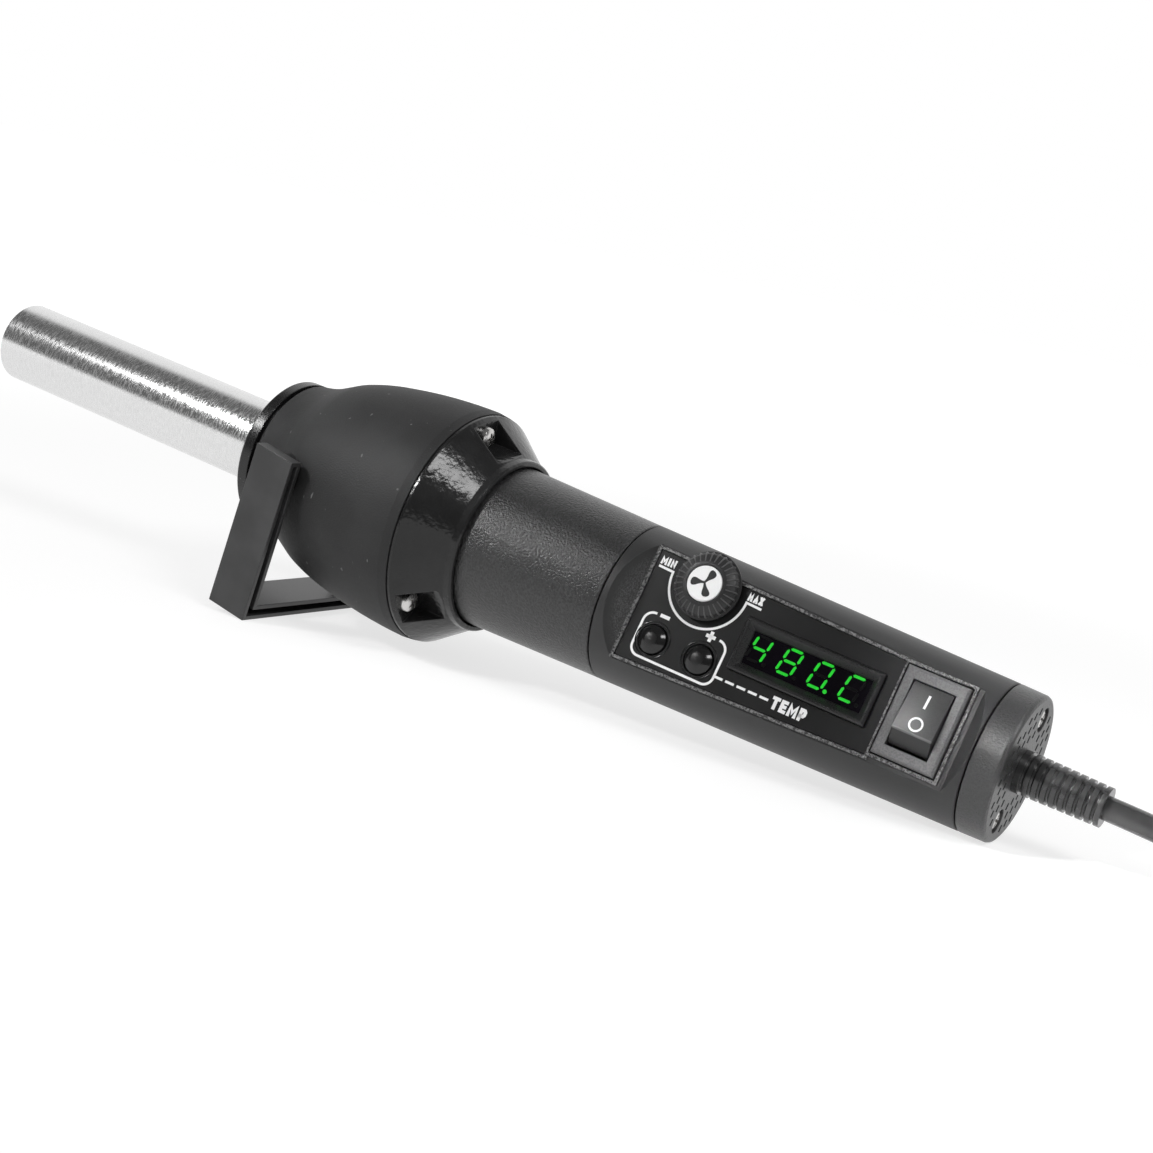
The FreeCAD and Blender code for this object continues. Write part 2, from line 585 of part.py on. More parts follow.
# ---- controls ---------------------------------------------------------------------------
def display_bezel():
    foot = FASCIA_TOP - FASCIA_T
    top = FASCIA_TOP + BEZEL_RISE
    frame = display_box(BEZEL_SIZE, (foot, top))
    frame = frame.makeChamfer(0.35, [edge for edge in frame.Edges if edge.BoundBox.ZMin > top - 0.01])
    skirt = display_box(BEZEL_SIZE, (INNER_FLAT, foot), -BEZEL_BEVEL)
    window_top = PANEL_Z - 0.3
    half = [size / 2 - BEZEL_BEVEL for size in BEZEL_SIZE]
    middle = (HOUSING_X + DISPLAY_AT, DISPLAY_UP)

    def loop(grow, z):
        corners = [(-1, -1), (1, -1), (1, 1), (-1, 1)]
        points = [V(middle[0] + i * (half[0] + grow), middle[1] + j * (half[1] + grow), z) for i, j in corners]
        return Part.makePolygon(points + [points[0]])

    funnel = Part.makeLoft([loop(-1.2, window_top), loop(0.3, top + 0.01)], True)
    seat = display_box(BEZEL_SIZE, (0, window_top), -BEZEL_BEVEL - 0.8)
    return frame.fuse(skirt).cut([funnel, seat]).removeSplitter()


def display_window():
    top = PANEL_Z - 0.3
    pane = display_box(BEZEL_SIZE, (top - WINDOW_T, top), -BEZEL_BEVEL - 0.9)
    return pane


def display_module():
    return display_box(BEZEL_SIZE, (BOARD_TOP, PANEL_Z - 0.3 - WINDOW_T - 0.1), -BEZEL_BEVEL - 1.0)


def knob():
    foot = PANEL_Z + RIM_HEIGHT + 0.4
    top = foot + KNOB_HEIGHT
    seat_r = KNOB_CAP_R + 0.1
    outline = [(0, foot), (KNOB_R - 0.3, foot), (KNOB_R, foot + 0.3), (KNOB_R, foot + 1.0), (seat_r + 1.2, top - 0.3),
               (seat_r + 0.4, top), (seat_r, top), (seat_r, top - 0.5), (0, top - 0.5)]
    body = polygon([V(r, 0, z) for r, z in outline]).revolve(ORIGIN, Z_AXIS, 360)
    slope = math.degrees(math.atan2(KNOB_HEIGHT - 1.3, KNOB_R - seat_r - 1.2))
    flute = block((0, KNOB_R), (-0.36, 0.36), (-0.45, 2.0))
    flute.rotate(ORIGIN, Y_AXIS, slope)
    flute.translate(V(seat_r + 1.2, 0, top - 0.3))
    flutes = []
    for angle in even_angles(KNOB_FLUTES):
        copy = flute.copy()
        copy.rotate(ORIGIN, Z_AXIS, angle)
        flutes.append(copy)
    body = body.cut(flutes)
    body.translate(V(HOUSING_X + KNOB_AT, KNOB_UP, 0))
    return body.cut(knob_post(POT_SHAFT_R, 0, top - 0.8))


def knob_cap():
    top = PANEL_Z + RIM_HEIGHT + 0.4 + KNOB_HEIGHT
    disc = knob_post(KNOB_CAP_R, top - 0.5, top + 0.15)
    return disc.makeChamfer(0.2, [edge for edge in disc.Edges if edge.BoundBox.ZMin > top])


def pot_shaft():
    top = PANEL_Z + RIM_HEIGHT + 0.4 + KNOB_HEIGHT
    return knob_post(POT_SHAFT_R, BOARD_TOP + 1.5, top - 0.8)


def potentiometer():
    body = knob_post(POT_R, BOARD_TOP, INNER_FLAT - 0.6)
    return body.cut(knob_post(POT_SHAFT_R + RUN_GAP, BOARD_TOP + 1.2, FAR))


def push_button(index):
    """A domed cap with a retaining flange and a stem that reaches its tact switch."""
    edge_z = FASCIA_TOP + 0.35
    top_z = FASCIA_TOP + BUTTON_RISE
    flange_top = INNER_FLAT - SEAT_GAP
    stem_z = BOARD_TOP + 4.0 + BUTTON_TRAVEL + 0.1
    stem_r = 1.5
    corners = [V(0, 0, stem_z), V(stem_r, 0, stem_z), V(stem_r, 0, flange_top - 0.9),
               V(BUTTON_R + 0.9, 0, flange_top - 0.9), V(BUTTON_R + 0.9, 0, flange_top),
               V(BUTTON_R, 0, flange_top), V(BUTTON_R, 0, edge_z)]
    rise = top_z - edge_z
    dome_r = (BUTTON_R ** 2 + rise ** 2) / (2 * rise)
    half_way = math.asin(BUTTON_R / dome_r) / 2
    crest = V(dome_r * math.sin(half_way), 0, top_z - dome_r * (1 - math.cos(half_way)))
    dome = Part.Arc(corners[-1], crest, V(0, 0, top_z))
    edges = [Part.makeLine(a, b) for a, b in zip(corners, corners[1:])]
    edges += [dome.toShape(), Part.makeLine(V(0, 0, top_z), corners[0])]
    cap = Part.Face(Part.Wire(edges)).revolve(ORIGIN, Z_AXIS, 360)
    cap.translate(V(HOUSING_X + BUTTON_AT[index], BUTTON_UP, 0))
    return cap


def minus_button():
    return push_button(0)


def plus_button():
    return push_button(1)


def tact_switches():
    switches = []
    for at in BUTTON_AT:
        x = HOUSING_X + at
        base = block(centred(x, 6.0), centred(BUTTON_UP, 6.0), (BOARD_TOP, BOARD_TOP + 3.4))
        switches.append(base.fuse(post(1.75, BOARD_TOP + 3.4, BOARD_TOP + 4.0, x, BUTTON_UP)).removeSplitter())
    return Part.makeCompound(switches)


# ---- rocker switch ----------------------------------------------------------------------
PADDLE_AXIS_Z = PANEL_Z - 2.2
ROCKER_SEAT = PANEL_Z - ROCKER_RECESS


def rocker_frame():
    top = PANEL_Z + ROCKER_FRAME_RISE
    frame = rocker_box(ROCKER_FRAME, (ROCKER_SEAT, top))
    frame = frame.makeChamfer(0.5, [edge for edge in frame.Edges if edge.BoundBox.ZMin > top - 0.01])
    return frame.cut(rocker_box(ROCKER_OPENING, (0, FAR)))


def paddle_pins(radius, reach):
    x = HOUSING_X + ROCKER_AT
    return Part.makeCylinder(radius, 2 * reach, V(x - reach, ROCKER_UP, PADDLE_AXIS_Z), X_AXIS)


def rocker_body():
    body = rocker_box(ROCKER_BODY[:2], (ROCKER_SEAT - ROCKER_BODY[2], ROCKER_SEAT))
    well = rocker_box(ROCKER_OPENING, (PADDLE_AXIS_Z - 3.6, FAR))
    return body.cut([well, paddle_pins(PADDLE_PIN_R + RUN_GAP, ROCKER_BODY[0] / 2 - 0.25)])


def rocker_paddle():
    half = ROCKER_OPENING[1] / 2 - 0.75
    top = 5.6
    end = 3.2
    ridge = 4.7
    width = ROCKER_OPENING[0] / 2 - 0.2
    corners = [V(0, ridge, top), V(0, half, end), V(0, half - 1.2, -2.0), V(0, 0, -2.7),
               V(0, -half + 1.2, -2.0), V(0, -half, end), V(0, -ridge, top)]
    edges = [Part.makeLine(a, b) for a, b in zip(corners, corners[1:])]
    edges.append(Part.Arc(corners[-1], V(0, 0, top - 0.45), corners[0]).toShape())
    paddle = Part.Face(Part.Wire(edges)).extrude(V(2 * width, 0, 0))
    paddle.translate(V(-width, 0, 0))
    paddle.rotate(ORIGIN, X_AXIS, -ROCKER_TILT)
    paddle.translate(V(HOUSING_X + ROCKER_AT, ROCKER_UP, PADDLE_AXIS_Z))
    return paddle.fuse(paddle_pins(PADDLE_PIN_R, ROCKER_BODY[0] / 2 - 0.4)).removeSplitter()


def rocker_terminals():
    foot = ROCKER_SEAT - ROCKER_BODY[2]
    x = HOUSING_X + ROCKER_AT
    return Part.makeCompound([block(centred(x, 4.8), centred(y, 0.8), (foot - 7.0, foot)) for y in (-6.0, 0.0, 6.0)])


# ---- electronics ------------------------------------------------------------------------
def main_board():
    x_span = (HOUSING_X + SPIGOT_LENGTH + 1.0, HOUSING_X + FASCIA_FROM + FASCIA_LENGTH)
    board = block(x_span, (-BOARD_HALF, BOARD_HALF), (BOARD_TOP - BOARD_T, BOARD_TOP))
    return board.cut([post(1.2, 0, FAR, x, y) for x, y in board_points()])


def board_screws():
    screws = []
    for x, y in board_points():
        bottom = BOARD_TOP - BOARD_T
        screws.append(post(1.9, bottom - 1.3, bottom, x, y).fuse(post(0.95, bottom, BOARD_TOP + 4, x, y)))
    return Part.makeCompound([screw.removeSplitter() for screw in screws])


def board_spacers():
    places = [(HOUSING_X + at, side * 10.5) for at in (15.0, 61.0) for side in (-1, 1)]
    return Part.makeCompound([post(1.8, MAINS_TOP, BOARD_TOP - BOARD_T, x, y) for x, y in places])


def mains_board():
    x_span = (HOUSING_X + 7.3, HOUSING_X + 65.3)
    under = MAINS_TOP - BOARD_T
    wall_r = taper(GRIP_REAR_R, HOUSING_REAR_R, HOUSING_X, CAP_X, x_span[1]) - HOUSING_WALL
    half = math.sqrt((wall_r - MAINS_EDGE_GAP) ** 2 - under ** 2)
    return block(x_span, (-half, half), (under, MAINS_TOP))


def transformer():
    x_span = (HOUSING_X + 18.0, HOUSING_X + 36.0)
    core = block(x_span, (-7.5, 7.5), (MAINS_TOP + 2.2, MAINS_TOP + 7.0))
    winding = block((x_span[0] + 3, x_span[1] - 3), (-6.5, 6.5), (MAINS_TOP, MAINS_TOP + 9.0))
    return core.fuse(winding).removeSplitter()


def capacitor():
    return rod(HOUSING_X + 39.5, HOUSING_X + 55.5, 4.5, -6.0, MAINS_TOP + 4.6)


def fuse():
    return rod(HOUSING_X + 39.5, HOUSING_X + 57.5, 2.4, 6.0, MAINS_TOP + 2.5)


def triac():
    under = MAINS_TOP - BOARD_T
    x = HOUSING_X + 21.0
    body = block((x, x + 10), (-5, 5), (under - 4.4, under))
    return body.fuse(block((x + 10, x + 14.5), (-5, 5), (under - 1.3, under))).removeSplitter()


def lead_harness():
    x_span = (MOTOR_X + MOTOR_LENGTH + 0.1, HOUSING_X + 7.2)
    return Part.makeCompound([rod(x_span[0], x_span[1], 0.8, y, MAINS_TOP - 0.8) for y in (-3.0, 0.0, 3.0)])


# ---- end cap and strain relief ----------------------------------------------------------
def cap_slots():
    """Rows of short air slots, left out round the cord and the two screws."""
    slots = []
    for column in range(-5, 6):
        z = column * SLOT_PITCH[1]
        shift = SLOT_PITCH[0] / 2 if column % 2 else 0.0
        for row in range(-5, 6):
            y = row * SLOT_PITCH[0] + shift
            from_axis = math.hypot(y, z)
            from_screw = math.hypot(abs(y) - CAP_SCREW_AT, z)
            if BOOT_R + 2.0 < from_axis < HOUSING_REAR_R - 3.2 and from_screw > 3.9:
                slots.append(block((CAP_FACE_X - 4, CAP_FACE_X + 1), centred(y, SLOT[0]), centred(z, SLOT[1])))
    return slots


def end_cap():
    x0 = CAP_X + SEAM / 2
    face = CAP_FACE_X
    spigot_r = HOUSING_REAR_R - HOUSING_WALL - 0.12
    back = face - CAP_FACE_T
    hole = BOOT_END_R - 0.1
    body = turned([(x0, HOUSING_REAR_R - 0.27), (x0 + 0.25, HOUSING_REAR_R - 0.02),
                   (face - CAP_EDGE, HOUSING_REAR_R - 0.2), (face - 0.3, HOUSING_REAR_R - 0.5),
                   (face, HOUSING_REAR_R - 0.2 - CAP_EDGE), (face, hole), (back, hole), (back, spigot_r - 1.6),
                   (CAP_X - CAP_SPIGOT, spigot_r - 1.6), (CAP_X - CAP_SPIGOT, spigot_r), (x0, spigot_r)])
    cuts = cap_slots()
    cuts.append(flat_tool(HOUSING_WALL + 0.2).common(rod(CAP_X - 5, CAP_X, FAR)))
    for side in (-1, 1):
        y = side * CAP_SCREW_AT
        cuts.append(rod(face - CAP_SCREW_SINK, face + 1, SCREW_HEAD_R + 0.2, y))
        cuts.append(rod(back - 1, face, CAP_SCREW_R + 0.1, y))
        cuts.append(rod(CAP_X - CAP_SPIGOT - 1, back - 0.6, CAP_SCREW_R + 1.0, y))
    return body.cut(cuts)


def end_cap_screws():
    head_x = CAP_FACE_X - CAP_SCREW_SINK
    screws = []
    for side in (-1, 1):
        screw = rod(head_x, head_x + 1.2, SCREW_HEAD_R - 0.2, side * CAP_SCREW_AT)
        shank = rod(CAP_X - CAP_SPIGOT - 2.8, head_x, CAP_SCREW_R - RUN_GAP, side * CAP_SCREW_AT)
        screws.append(screw.fuse(shank).removeSplitter())
    return Part.makeCompound(screws)


def strain_relief():
    neck_r = BOOT_END_R - 0.2
    back = CAP_FACE_X - CAP_FACE_T
    pitch = (BOOT_LENGTH - 1.6) / BOOT_RIBS
    outline = [(back - 1.6, 0), (back - 1.6, neck_r + 1.6), (back, neck_r + 1.6), (back, neck_r),
               (CAP_FACE_X, neck_r), (CAP_FACE_X, BOOT_R), (CAP_FACE_X + 1.6, BOOT_R)]
    for rib in range(BOOT_RIBS):
        x = CAP_FACE_X + 1.6 + rib * pitch
        rib_r = BOOT_R + (BOOT_END_R - BOOT_R) * (rib + 1) / BOOT_RIBS
        groove_r = rib_r - 0.6
        outline += [(x, groove_r), (x + 0.28 * pitch, groove_r), (x + 0.42 * pitch, rib_r), (x + pitch, rib_r)]
    outline.append((BOOT_END_X, 0))
    return turned(outline)


def cord_inner_end():
    return rod(CAP_X - 4.6, CAP_FACE_X - CAP_FACE_T - 1.6, CORD_R)


def cord_clamp():
    reach = HOUSING_REAR_R - HOUSING_WALL - 2.0
    bar = block((CAP_X - 1.6, CAP_X + 2.0), (-3.6, 3.6), (-reach, reach))
    return bar.common(rod(CAP_X - 3, CAP_X + 4, reach)).cut(rod(CAP_X - 3, CAP_X + 4, CORD_R))


# ---- stand ------------------------------------------------------------------------------
def arm_outer_half(z):
    """Half width over the stand's arms at a height above the tool's axis."""
    top = PIVOT_RAISE + STAND_HEAD
    foot = PIVOT_RAISE - STAND_LEG
    return taper(STAND_TOP_HALF, STAND_FOOT_HALF, top, foot, z)


def arm_inner_half(z):
    return arm_outer_half(z) - STAND_T


def bracket_outline(inset_out, inset_in, x):
    """The U of the stand seen along the tool, between two insets from its outer face."""
    top = PIVOT_RAISE + STAND_HEAD - (inset_out if inset_out else 0.0)
    foot = PIVOT_RAISE - STAND_LEG
    outer = [(arm_outer_half(top) - inset_out, top), (STAND_FOOT_HALF - inset_out, foot + inset_out)]
    inner = [(STAND_FOOT_HALF - inset_in, foot + inset_in), (arm_outer_half(top) - inset_in, top)]
    side = outer + inner
    across = [(-y, z) for y, z in side[1:2]] + [(-y, z) for y, z in side[0:1]]
    back = [(-y, z) for y, z in side[3:4]] + [(-y, z) for y, z in side[2:3]]
    loop = [side[0], side[1]] + across + back + [side[2], side[3]]
    return [V(x, y, z) for y, z in loop]


def stand():
    x0 = PIVOT_X - STAND_WIDTH / 2
    bracket = polygon(bracket_outline(0.0, STAND_T, x0)).extrude(V(STAND_WIDTH, 0, 0))
    channel = polygon(bracket_outline(STAND_WALL, STAND_T - STAND_WALL, x0 + STAND_WALL + 0.3))
    bracket = bracket.cut(channel.extrude(V(STAND_WIDTH, 0, 0)))
    hub = [one.common(bracket_hull()) for one in pivot_bar(PIVOT_BOSS_R, arm_inner_half(PIVOT_RAISE) - 0.5, FAR)]
    pegs = pivot_bar(PIVOT_R, NECK_R + 0.6, arm_inner_half(PIVOT_RAISE) + 1.0)
    shape = bracket.fuse(hub + pegs).removeSplitter()
    shape.rotate(V(PIVOT_X, 0, PIVOT_RAISE), Y_AXIS, STAND_LEAN)
    return shape


def bracket_hull():
    x0 = PIVOT_X - STAND_WIDTH / 2
    return polygon(bracket_outline(0.0, STAND_T, x0)).extrude(V(STAND_WIDTH, 0, 0))


# ---- stance: tilt and origin ------------------------------------------------------------
def stance_tilt():
    """Angle at which the foot's rear edge and the end cap's rim both touch the bench."""
    lean = math.radians(STAND_LEAN)
    foot_x = PIVOT_X + STAND_WIDTH / 2 * math.cos(lean) - STAND_LEG * math.sin(lean)
    foot_z = PIVOT_RAISE - STAND_WIDTH / 2 * math.sin(lean) - STAND_LEG * math.cos(lean)
    rim_x = CAP_FACE_X - CAP_EDGE
    rim_z = -(HOUSING_REAR_R - 0.2)
    return math.degrees(math.atan2(rim_z - foot_z, rim_x - foot_x))


def tilted(shape):
    copy = shape.copy()
    copy.rotate(ORIGIN, Y_AXIS, stance_tilt())
    return copy


# ---- cord and plug ----------------------------------------------------------------------
CORD_D = 2 * CORD_R
LIE_Z = CORD_R + 0.05
COIL_START_R = COIL_MID_R + COIL_ROWS * CORD_R
COIL_END_TURN = 0.25             # of a turn in the third layer
COIL_END_R = COIL_START_R - COIL_END_TURN * CORD_D
COIL_START_ANGLE = 135.0
COIL_END_ANGLE = COIL_START_ANGLE - 360.0 * COIL_END_TURN
# (x, y) from the end of the strain relief and z above the bench
LEAD_ROUTE = [(24.5, 1.5, 11.5), (36.5, 7.0, 7.6), (50.3, 19.2, 3.4), (62.3, 32.8, LIE_Z)]
LEAD_FIRST_RUN = 12.0
# (x, y) from the middle of the coil and z above the bench, after the coil's end
TAIL_ROUTE = [(36.7, 16.9, 13.6), (47.5, 8.0, 11.2), (59.0, 2.0, 8.0), (71.5, 0.5, PLUG_THICKNESS / 2)]
PLUG_SEAT = 0.2


def on_ring(radius, angle):
    """A point at an angle, in degrees, on a flat ring."""
    return V(radius * math.cos(math.radians(angle)), radius * math.sin(math.radians(angle)), 0)


def route_path(points):
    """Straight runs joined by tangent arcs, as one wire, with the arcs' radii."""
    radii = []
    edges = []
    start = points[0]
    for before, corner, after in zip(points, points[1:], points[2:]):
        run_in = (corner - before).Length
        run_out = (after - corner).Length
        way_in = (corner - before).normalize()
        way_out = (after - corner).normalize()
        half_turn = way_in.getAngle(way_out) / 2
        reach = 0.45 * min(run_in, run_out)
        radii.append(reach / math.tan(half_turn))
        arc_start = corner - way_in * reach
        arc_end = corner + way_out * reach
        inward = (way_out - way_in).normalize()
        middle = corner + inward * (radii[-1] / math.cos(half_turn) - radii[-1])
        edges.append(Part.LineSegment(start, arc_start).toShape())
        edges.append(Part.Arc(arc_start, middle, arc_end).toShape())
        start = arc_end
    edges.append(Part.LineSegment(start, points[-1]).toShape())
    return Part.Wire(edges), radii


def tube_along(points, label):
    """A round cord along a route; prints its arc radii and checks its volume."""
    path, radii = route_path(points)
    circle = Part.Wire(Part.makeCircle(CORD_R, points[0], (points[1] - points[0]).normalize()))
    tube = path.makePipeShell([circle], True, False)
    expected = math.pi * CORD_R ** 2 * path.Length
    print(label, "radii", [round(r, 1) for r in radii], "length", round(path.Length, 1),
          "volume ratio", round(tube.Volume / expected, 4))
    return tube


def coil_middle(exit_point):
    start = V(exit_point.x + LEAD_ROUTE[-1][0], exit_point.y + LEAD_ROUTE[-1][1], 0)
    return start - on_ring(COIL_START_R, COIL_START_ANGLE)


def lead_tube(exit_point, exit_way):
    points = [exit_point, exit_point + exit_way * LEAD_FIRST_RUN]
    points += [V(exit_point.x + x, exit_point.y + y, z) for x, y, z in LEAD_ROUTE]
    return tube_along(points, "lead")


def tail_tube(middle):
    start = on_ring(COIL_END_R, COIL_END_ANGLE) + V(0, 0, LIE_Z + COIL_LAYERS * CORD_D)
    return tube_along([middle + point for point in [start] + [V(*place) for place in TAIL_ROUTE]], "tail")


def cord_coil(middle):
    """The outer shape of the wound cord: full layers and a quarter turn on top of them."""
    inner = COIL_MID_R - COIL_ROWS * CORD_R - CORD_R
    outer = COIL_START_R + CORD_R
    height = COIL_LAYERS * CORD_D
    ring = Part.makeCylinder(outer, height).cut(Part.makeCylinder(inner, height))
    top = Part.makeCylinder(outer, height + CORD_D).cut(Part.makeCylinder(COIL_END_R - CORD_R, height + CORD_D))
    quarter = block((0, FAR), (0, FAR), (height - 1, height + CORD_D))
    quarter.rotate(ORIGIN, Z_AXIS, COIL_END_ANGLE)
    coil = ring.fuse(top.common(quarter)).removeSplitter()
    coil.translate(middle)
    return coil


def plug_place(middle):
    """Placement of a plug drawn along +X from its tail, at the end of the cord."""
    tail = V(*TAIL_ROUTE[-1])
    way = tail - V(*TAIL_ROUTE[-2])
    turn = math.degrees(math.atan2(way.y, way.x))
    seat = V(way.x, way.y, 0).normalize() * PLUG_SEAT
    return FreeCAD.Placement(middle + tail + seat, FreeCAD.Rotation(Z_AXIS, turn))


def plug_body():
    half = PLUG_WIDTH / 2
    high = PLUG_THICKNESS / 2
    shoulder = PLUG_LENGTH - 11.0
    plan = [(0, -5.0), (3.0, -6.0), (shoulder, -half), (PLUG_LENGTH, -half), (PLUG_LENGTH, half), (shoulder, half),
            (3.0, 6.0), (0, 5.0)]
    body = plate(plan, -high, high)
    side = side_prism([(0, -4.6), (9.0, -high), (PLUG_LENGTH, -high), (PLUG_LENGTH, high), (9.0, high), (0, 4.6)], FAR)
    body = body.common(side)
    rims = [edge for edge in body.Edges if abs(edge.CenterOfMass.z) > high - 0.01 and edge.CenterOfMass.x > 12.0]
    return body.makeChamfer(1.2, rims)


def plug_pins():
    x1 = PLUG_LENGTH + PLUG_PIN_LENGTH
    pins = []
    for side in (-1, 1):
        pin = rod(PLUG_LENGTH, x1, PLUG_PIN_R, side * PLUG_PIN_SPACING / 2)
        pins.append(pin.makeFillet(PLUG_PIN_R - 0.6, [edge for edge in pin.Edges if edge.BoundBox.XMin > x1 - 0.01]))
    return Part.makeCompound(pins)


# ---- the assembly -----------------------------------------------------------------------
UPRIGHT_NODES = [nozzle_tube, mica_sleeve, heater_core, heater_coils, thermocouple, terminal_disc, collar_ring,
                 front_bell, tube_clamp_plate, clamp_screws, stand]
PANEL_NODES = [fan_shroud, fan_impeller, motor_can, motor_shaft, rear_flange, bell_screws, grip_sleeve,
               control_housing, control_fascia, display_bezel, display_window, display_module, knob, knob_cap,
               pot_shaft, potentiometer, minus_button, plus_button, tact_switches, rocker_frame, rocker_body,
               rocker_paddle, rocker_terminals, main_board, board_screws, board_spacers, mains_board, transformer,
               capacitor, fuse, triac, lead_harness, end_cap, end_cap_screws, strain_relief, cord_inner_end,
               cord_clamp]


def build():
    """Every node's shape in its final place."""
    shapes = {part.__name__: tilted(part()) for part in UPRIGHT_NODES}
    shapes.update({part.__name__: tilted(rolled(part())) for part in PANEL_NODES})
    box = FreeCAD.BoundBox()
    for shape in shapes.values():
        box.add(shape.optimalBoundingBox(False))
    shift = V(-box.Center.x, -box.Center.y, -box.ZMin)
    for shape in shapes.values():
        shape.translate(shift)
    turn = FreeCAD.Rotation(Y_AXIS, stance_tilt())
    exit_point = turn.multVec(V(BOOT_END_X, 0, 0)) + shift
    exit_way = turn.multVec(X_AXIS)
    middle = coil_middle(exit_point)
    shapes["mains_cord"] = lead_tube(exit_point, exit_way)
    shapes["cord_tail"] = tail_tube(middle)
    shapes["cord_coil"] = cord_coil(middle)
    place = plug_place(middle)
    for part in (plug_body, plug_pins):
        shape = part()
        shape.Placement = place
        shapes[part.__name__] = shape
    report_places(turn, shift, exit_point)
    return shapes


def report_places(turn, shift, exit_point):
    """Print the frame points that the joints and mounts use."""
    roll = FreeCAD.Rotation(X_AXIS, ROLL)

    def place(point, panel=False):
        world = turn.multVec(roll.multVec(point) if panel else point) + shift
        return [round(value, 4) for value in world]

    def way(vector, panel=False):
        world = turn.multVec(roll.multVec(vector) if panel else vector)
        return [round(value, 6) for value in world]

    print("tilt", round(stance_tilt(), 4))
    print("axis", way(X_AXIS), "panel normal", way(Z_AXIS, True), "panel up", way(Y_AXIS, True))
    print("nozzle mouth", place(ORIGIN), "core front", place(V(CORE_FRONT, 0, 0)))
    print("pivot", place(V(PIVOT_X, 0, PIVOT_RAISE)), "foot way", way(V(0, 0, -1)))
    print("fan", place(V(FAN_X, 0, 0)))
    print("knob", place(V(HOUSING_X + KNOB_AT, KNOB_UP, PANEL_Z), True))
    for at in BUTTON_AT:
        print("button", place(V(HOUSING_X + at, BUTTON_UP, PANEL_Z), True))
    print("paddle", place(V(HOUSING_X + ROCKER_AT, ROCKER_UP, PADDLE_AXIS_Z), True))
    print("cap face", place(V(CAP_FACE_X, 0, 0)), "exit", [round(value, 4) for value in exit_point])


def main():
    os.makedirs("parts", exist_ok=True)
    for name, shape in build().items():
        solids = shape.Solids
        valid = all(solid.isValid() for solid in solids)
        shape.exportStep("parts/" + name + ".step")
        if not valid or not solids:
            print("CHECK", name, "solids", len(solids), "valid", valid)
    print("done")


main()
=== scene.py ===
"""Looks of a digital hot air gun, built round its packed construction model."""

import json
import logging
import math
from dataclasses import dataclass
from enum import Enum
from typing import Iterable, Sequence

import bmesh
import bpy
from mathutils import Matrix, Vector


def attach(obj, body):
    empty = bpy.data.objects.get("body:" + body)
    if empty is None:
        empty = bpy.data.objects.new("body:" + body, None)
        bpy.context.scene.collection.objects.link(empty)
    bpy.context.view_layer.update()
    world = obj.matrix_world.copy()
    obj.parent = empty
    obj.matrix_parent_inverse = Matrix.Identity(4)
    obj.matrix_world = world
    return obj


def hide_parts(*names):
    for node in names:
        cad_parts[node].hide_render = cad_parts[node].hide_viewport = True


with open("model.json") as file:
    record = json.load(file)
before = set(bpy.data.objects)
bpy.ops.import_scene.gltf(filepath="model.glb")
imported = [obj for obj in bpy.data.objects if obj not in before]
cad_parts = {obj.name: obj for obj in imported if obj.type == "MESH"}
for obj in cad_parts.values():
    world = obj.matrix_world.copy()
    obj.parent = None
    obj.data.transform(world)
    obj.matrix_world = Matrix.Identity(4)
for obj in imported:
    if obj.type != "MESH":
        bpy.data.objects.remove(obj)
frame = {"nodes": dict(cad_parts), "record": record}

MM = 0.001
INK_T = 0.04 * MM
MERGE = 1e-7
MITRE = 0.62
LOG = logging.getLogger("hot_air_gun")
Colour = tuple[float, float, float]
Point2 = tuple[float, float]
Point3 = tuple[float, float, float]
Input = "Value | float | Sequence[float] | bpy.types.ID"


class Body(Enum):
    """The bodies of the construction model that new pieces ride on."""

    TOOL = "tool"
    KNOB = "knob"
    ROCKER = "rocker"


# ---- the tool's own axes ----------------------------------------------------------------
def placed(origin: Vector, axes: Sequence[Vector]) -> Matrix:
    """Return the matrix that lays a drawing's own axes along three others, from an origin."""
    return Matrix.Translation(origin) @ Matrix(axes).transposed().to_4x4()


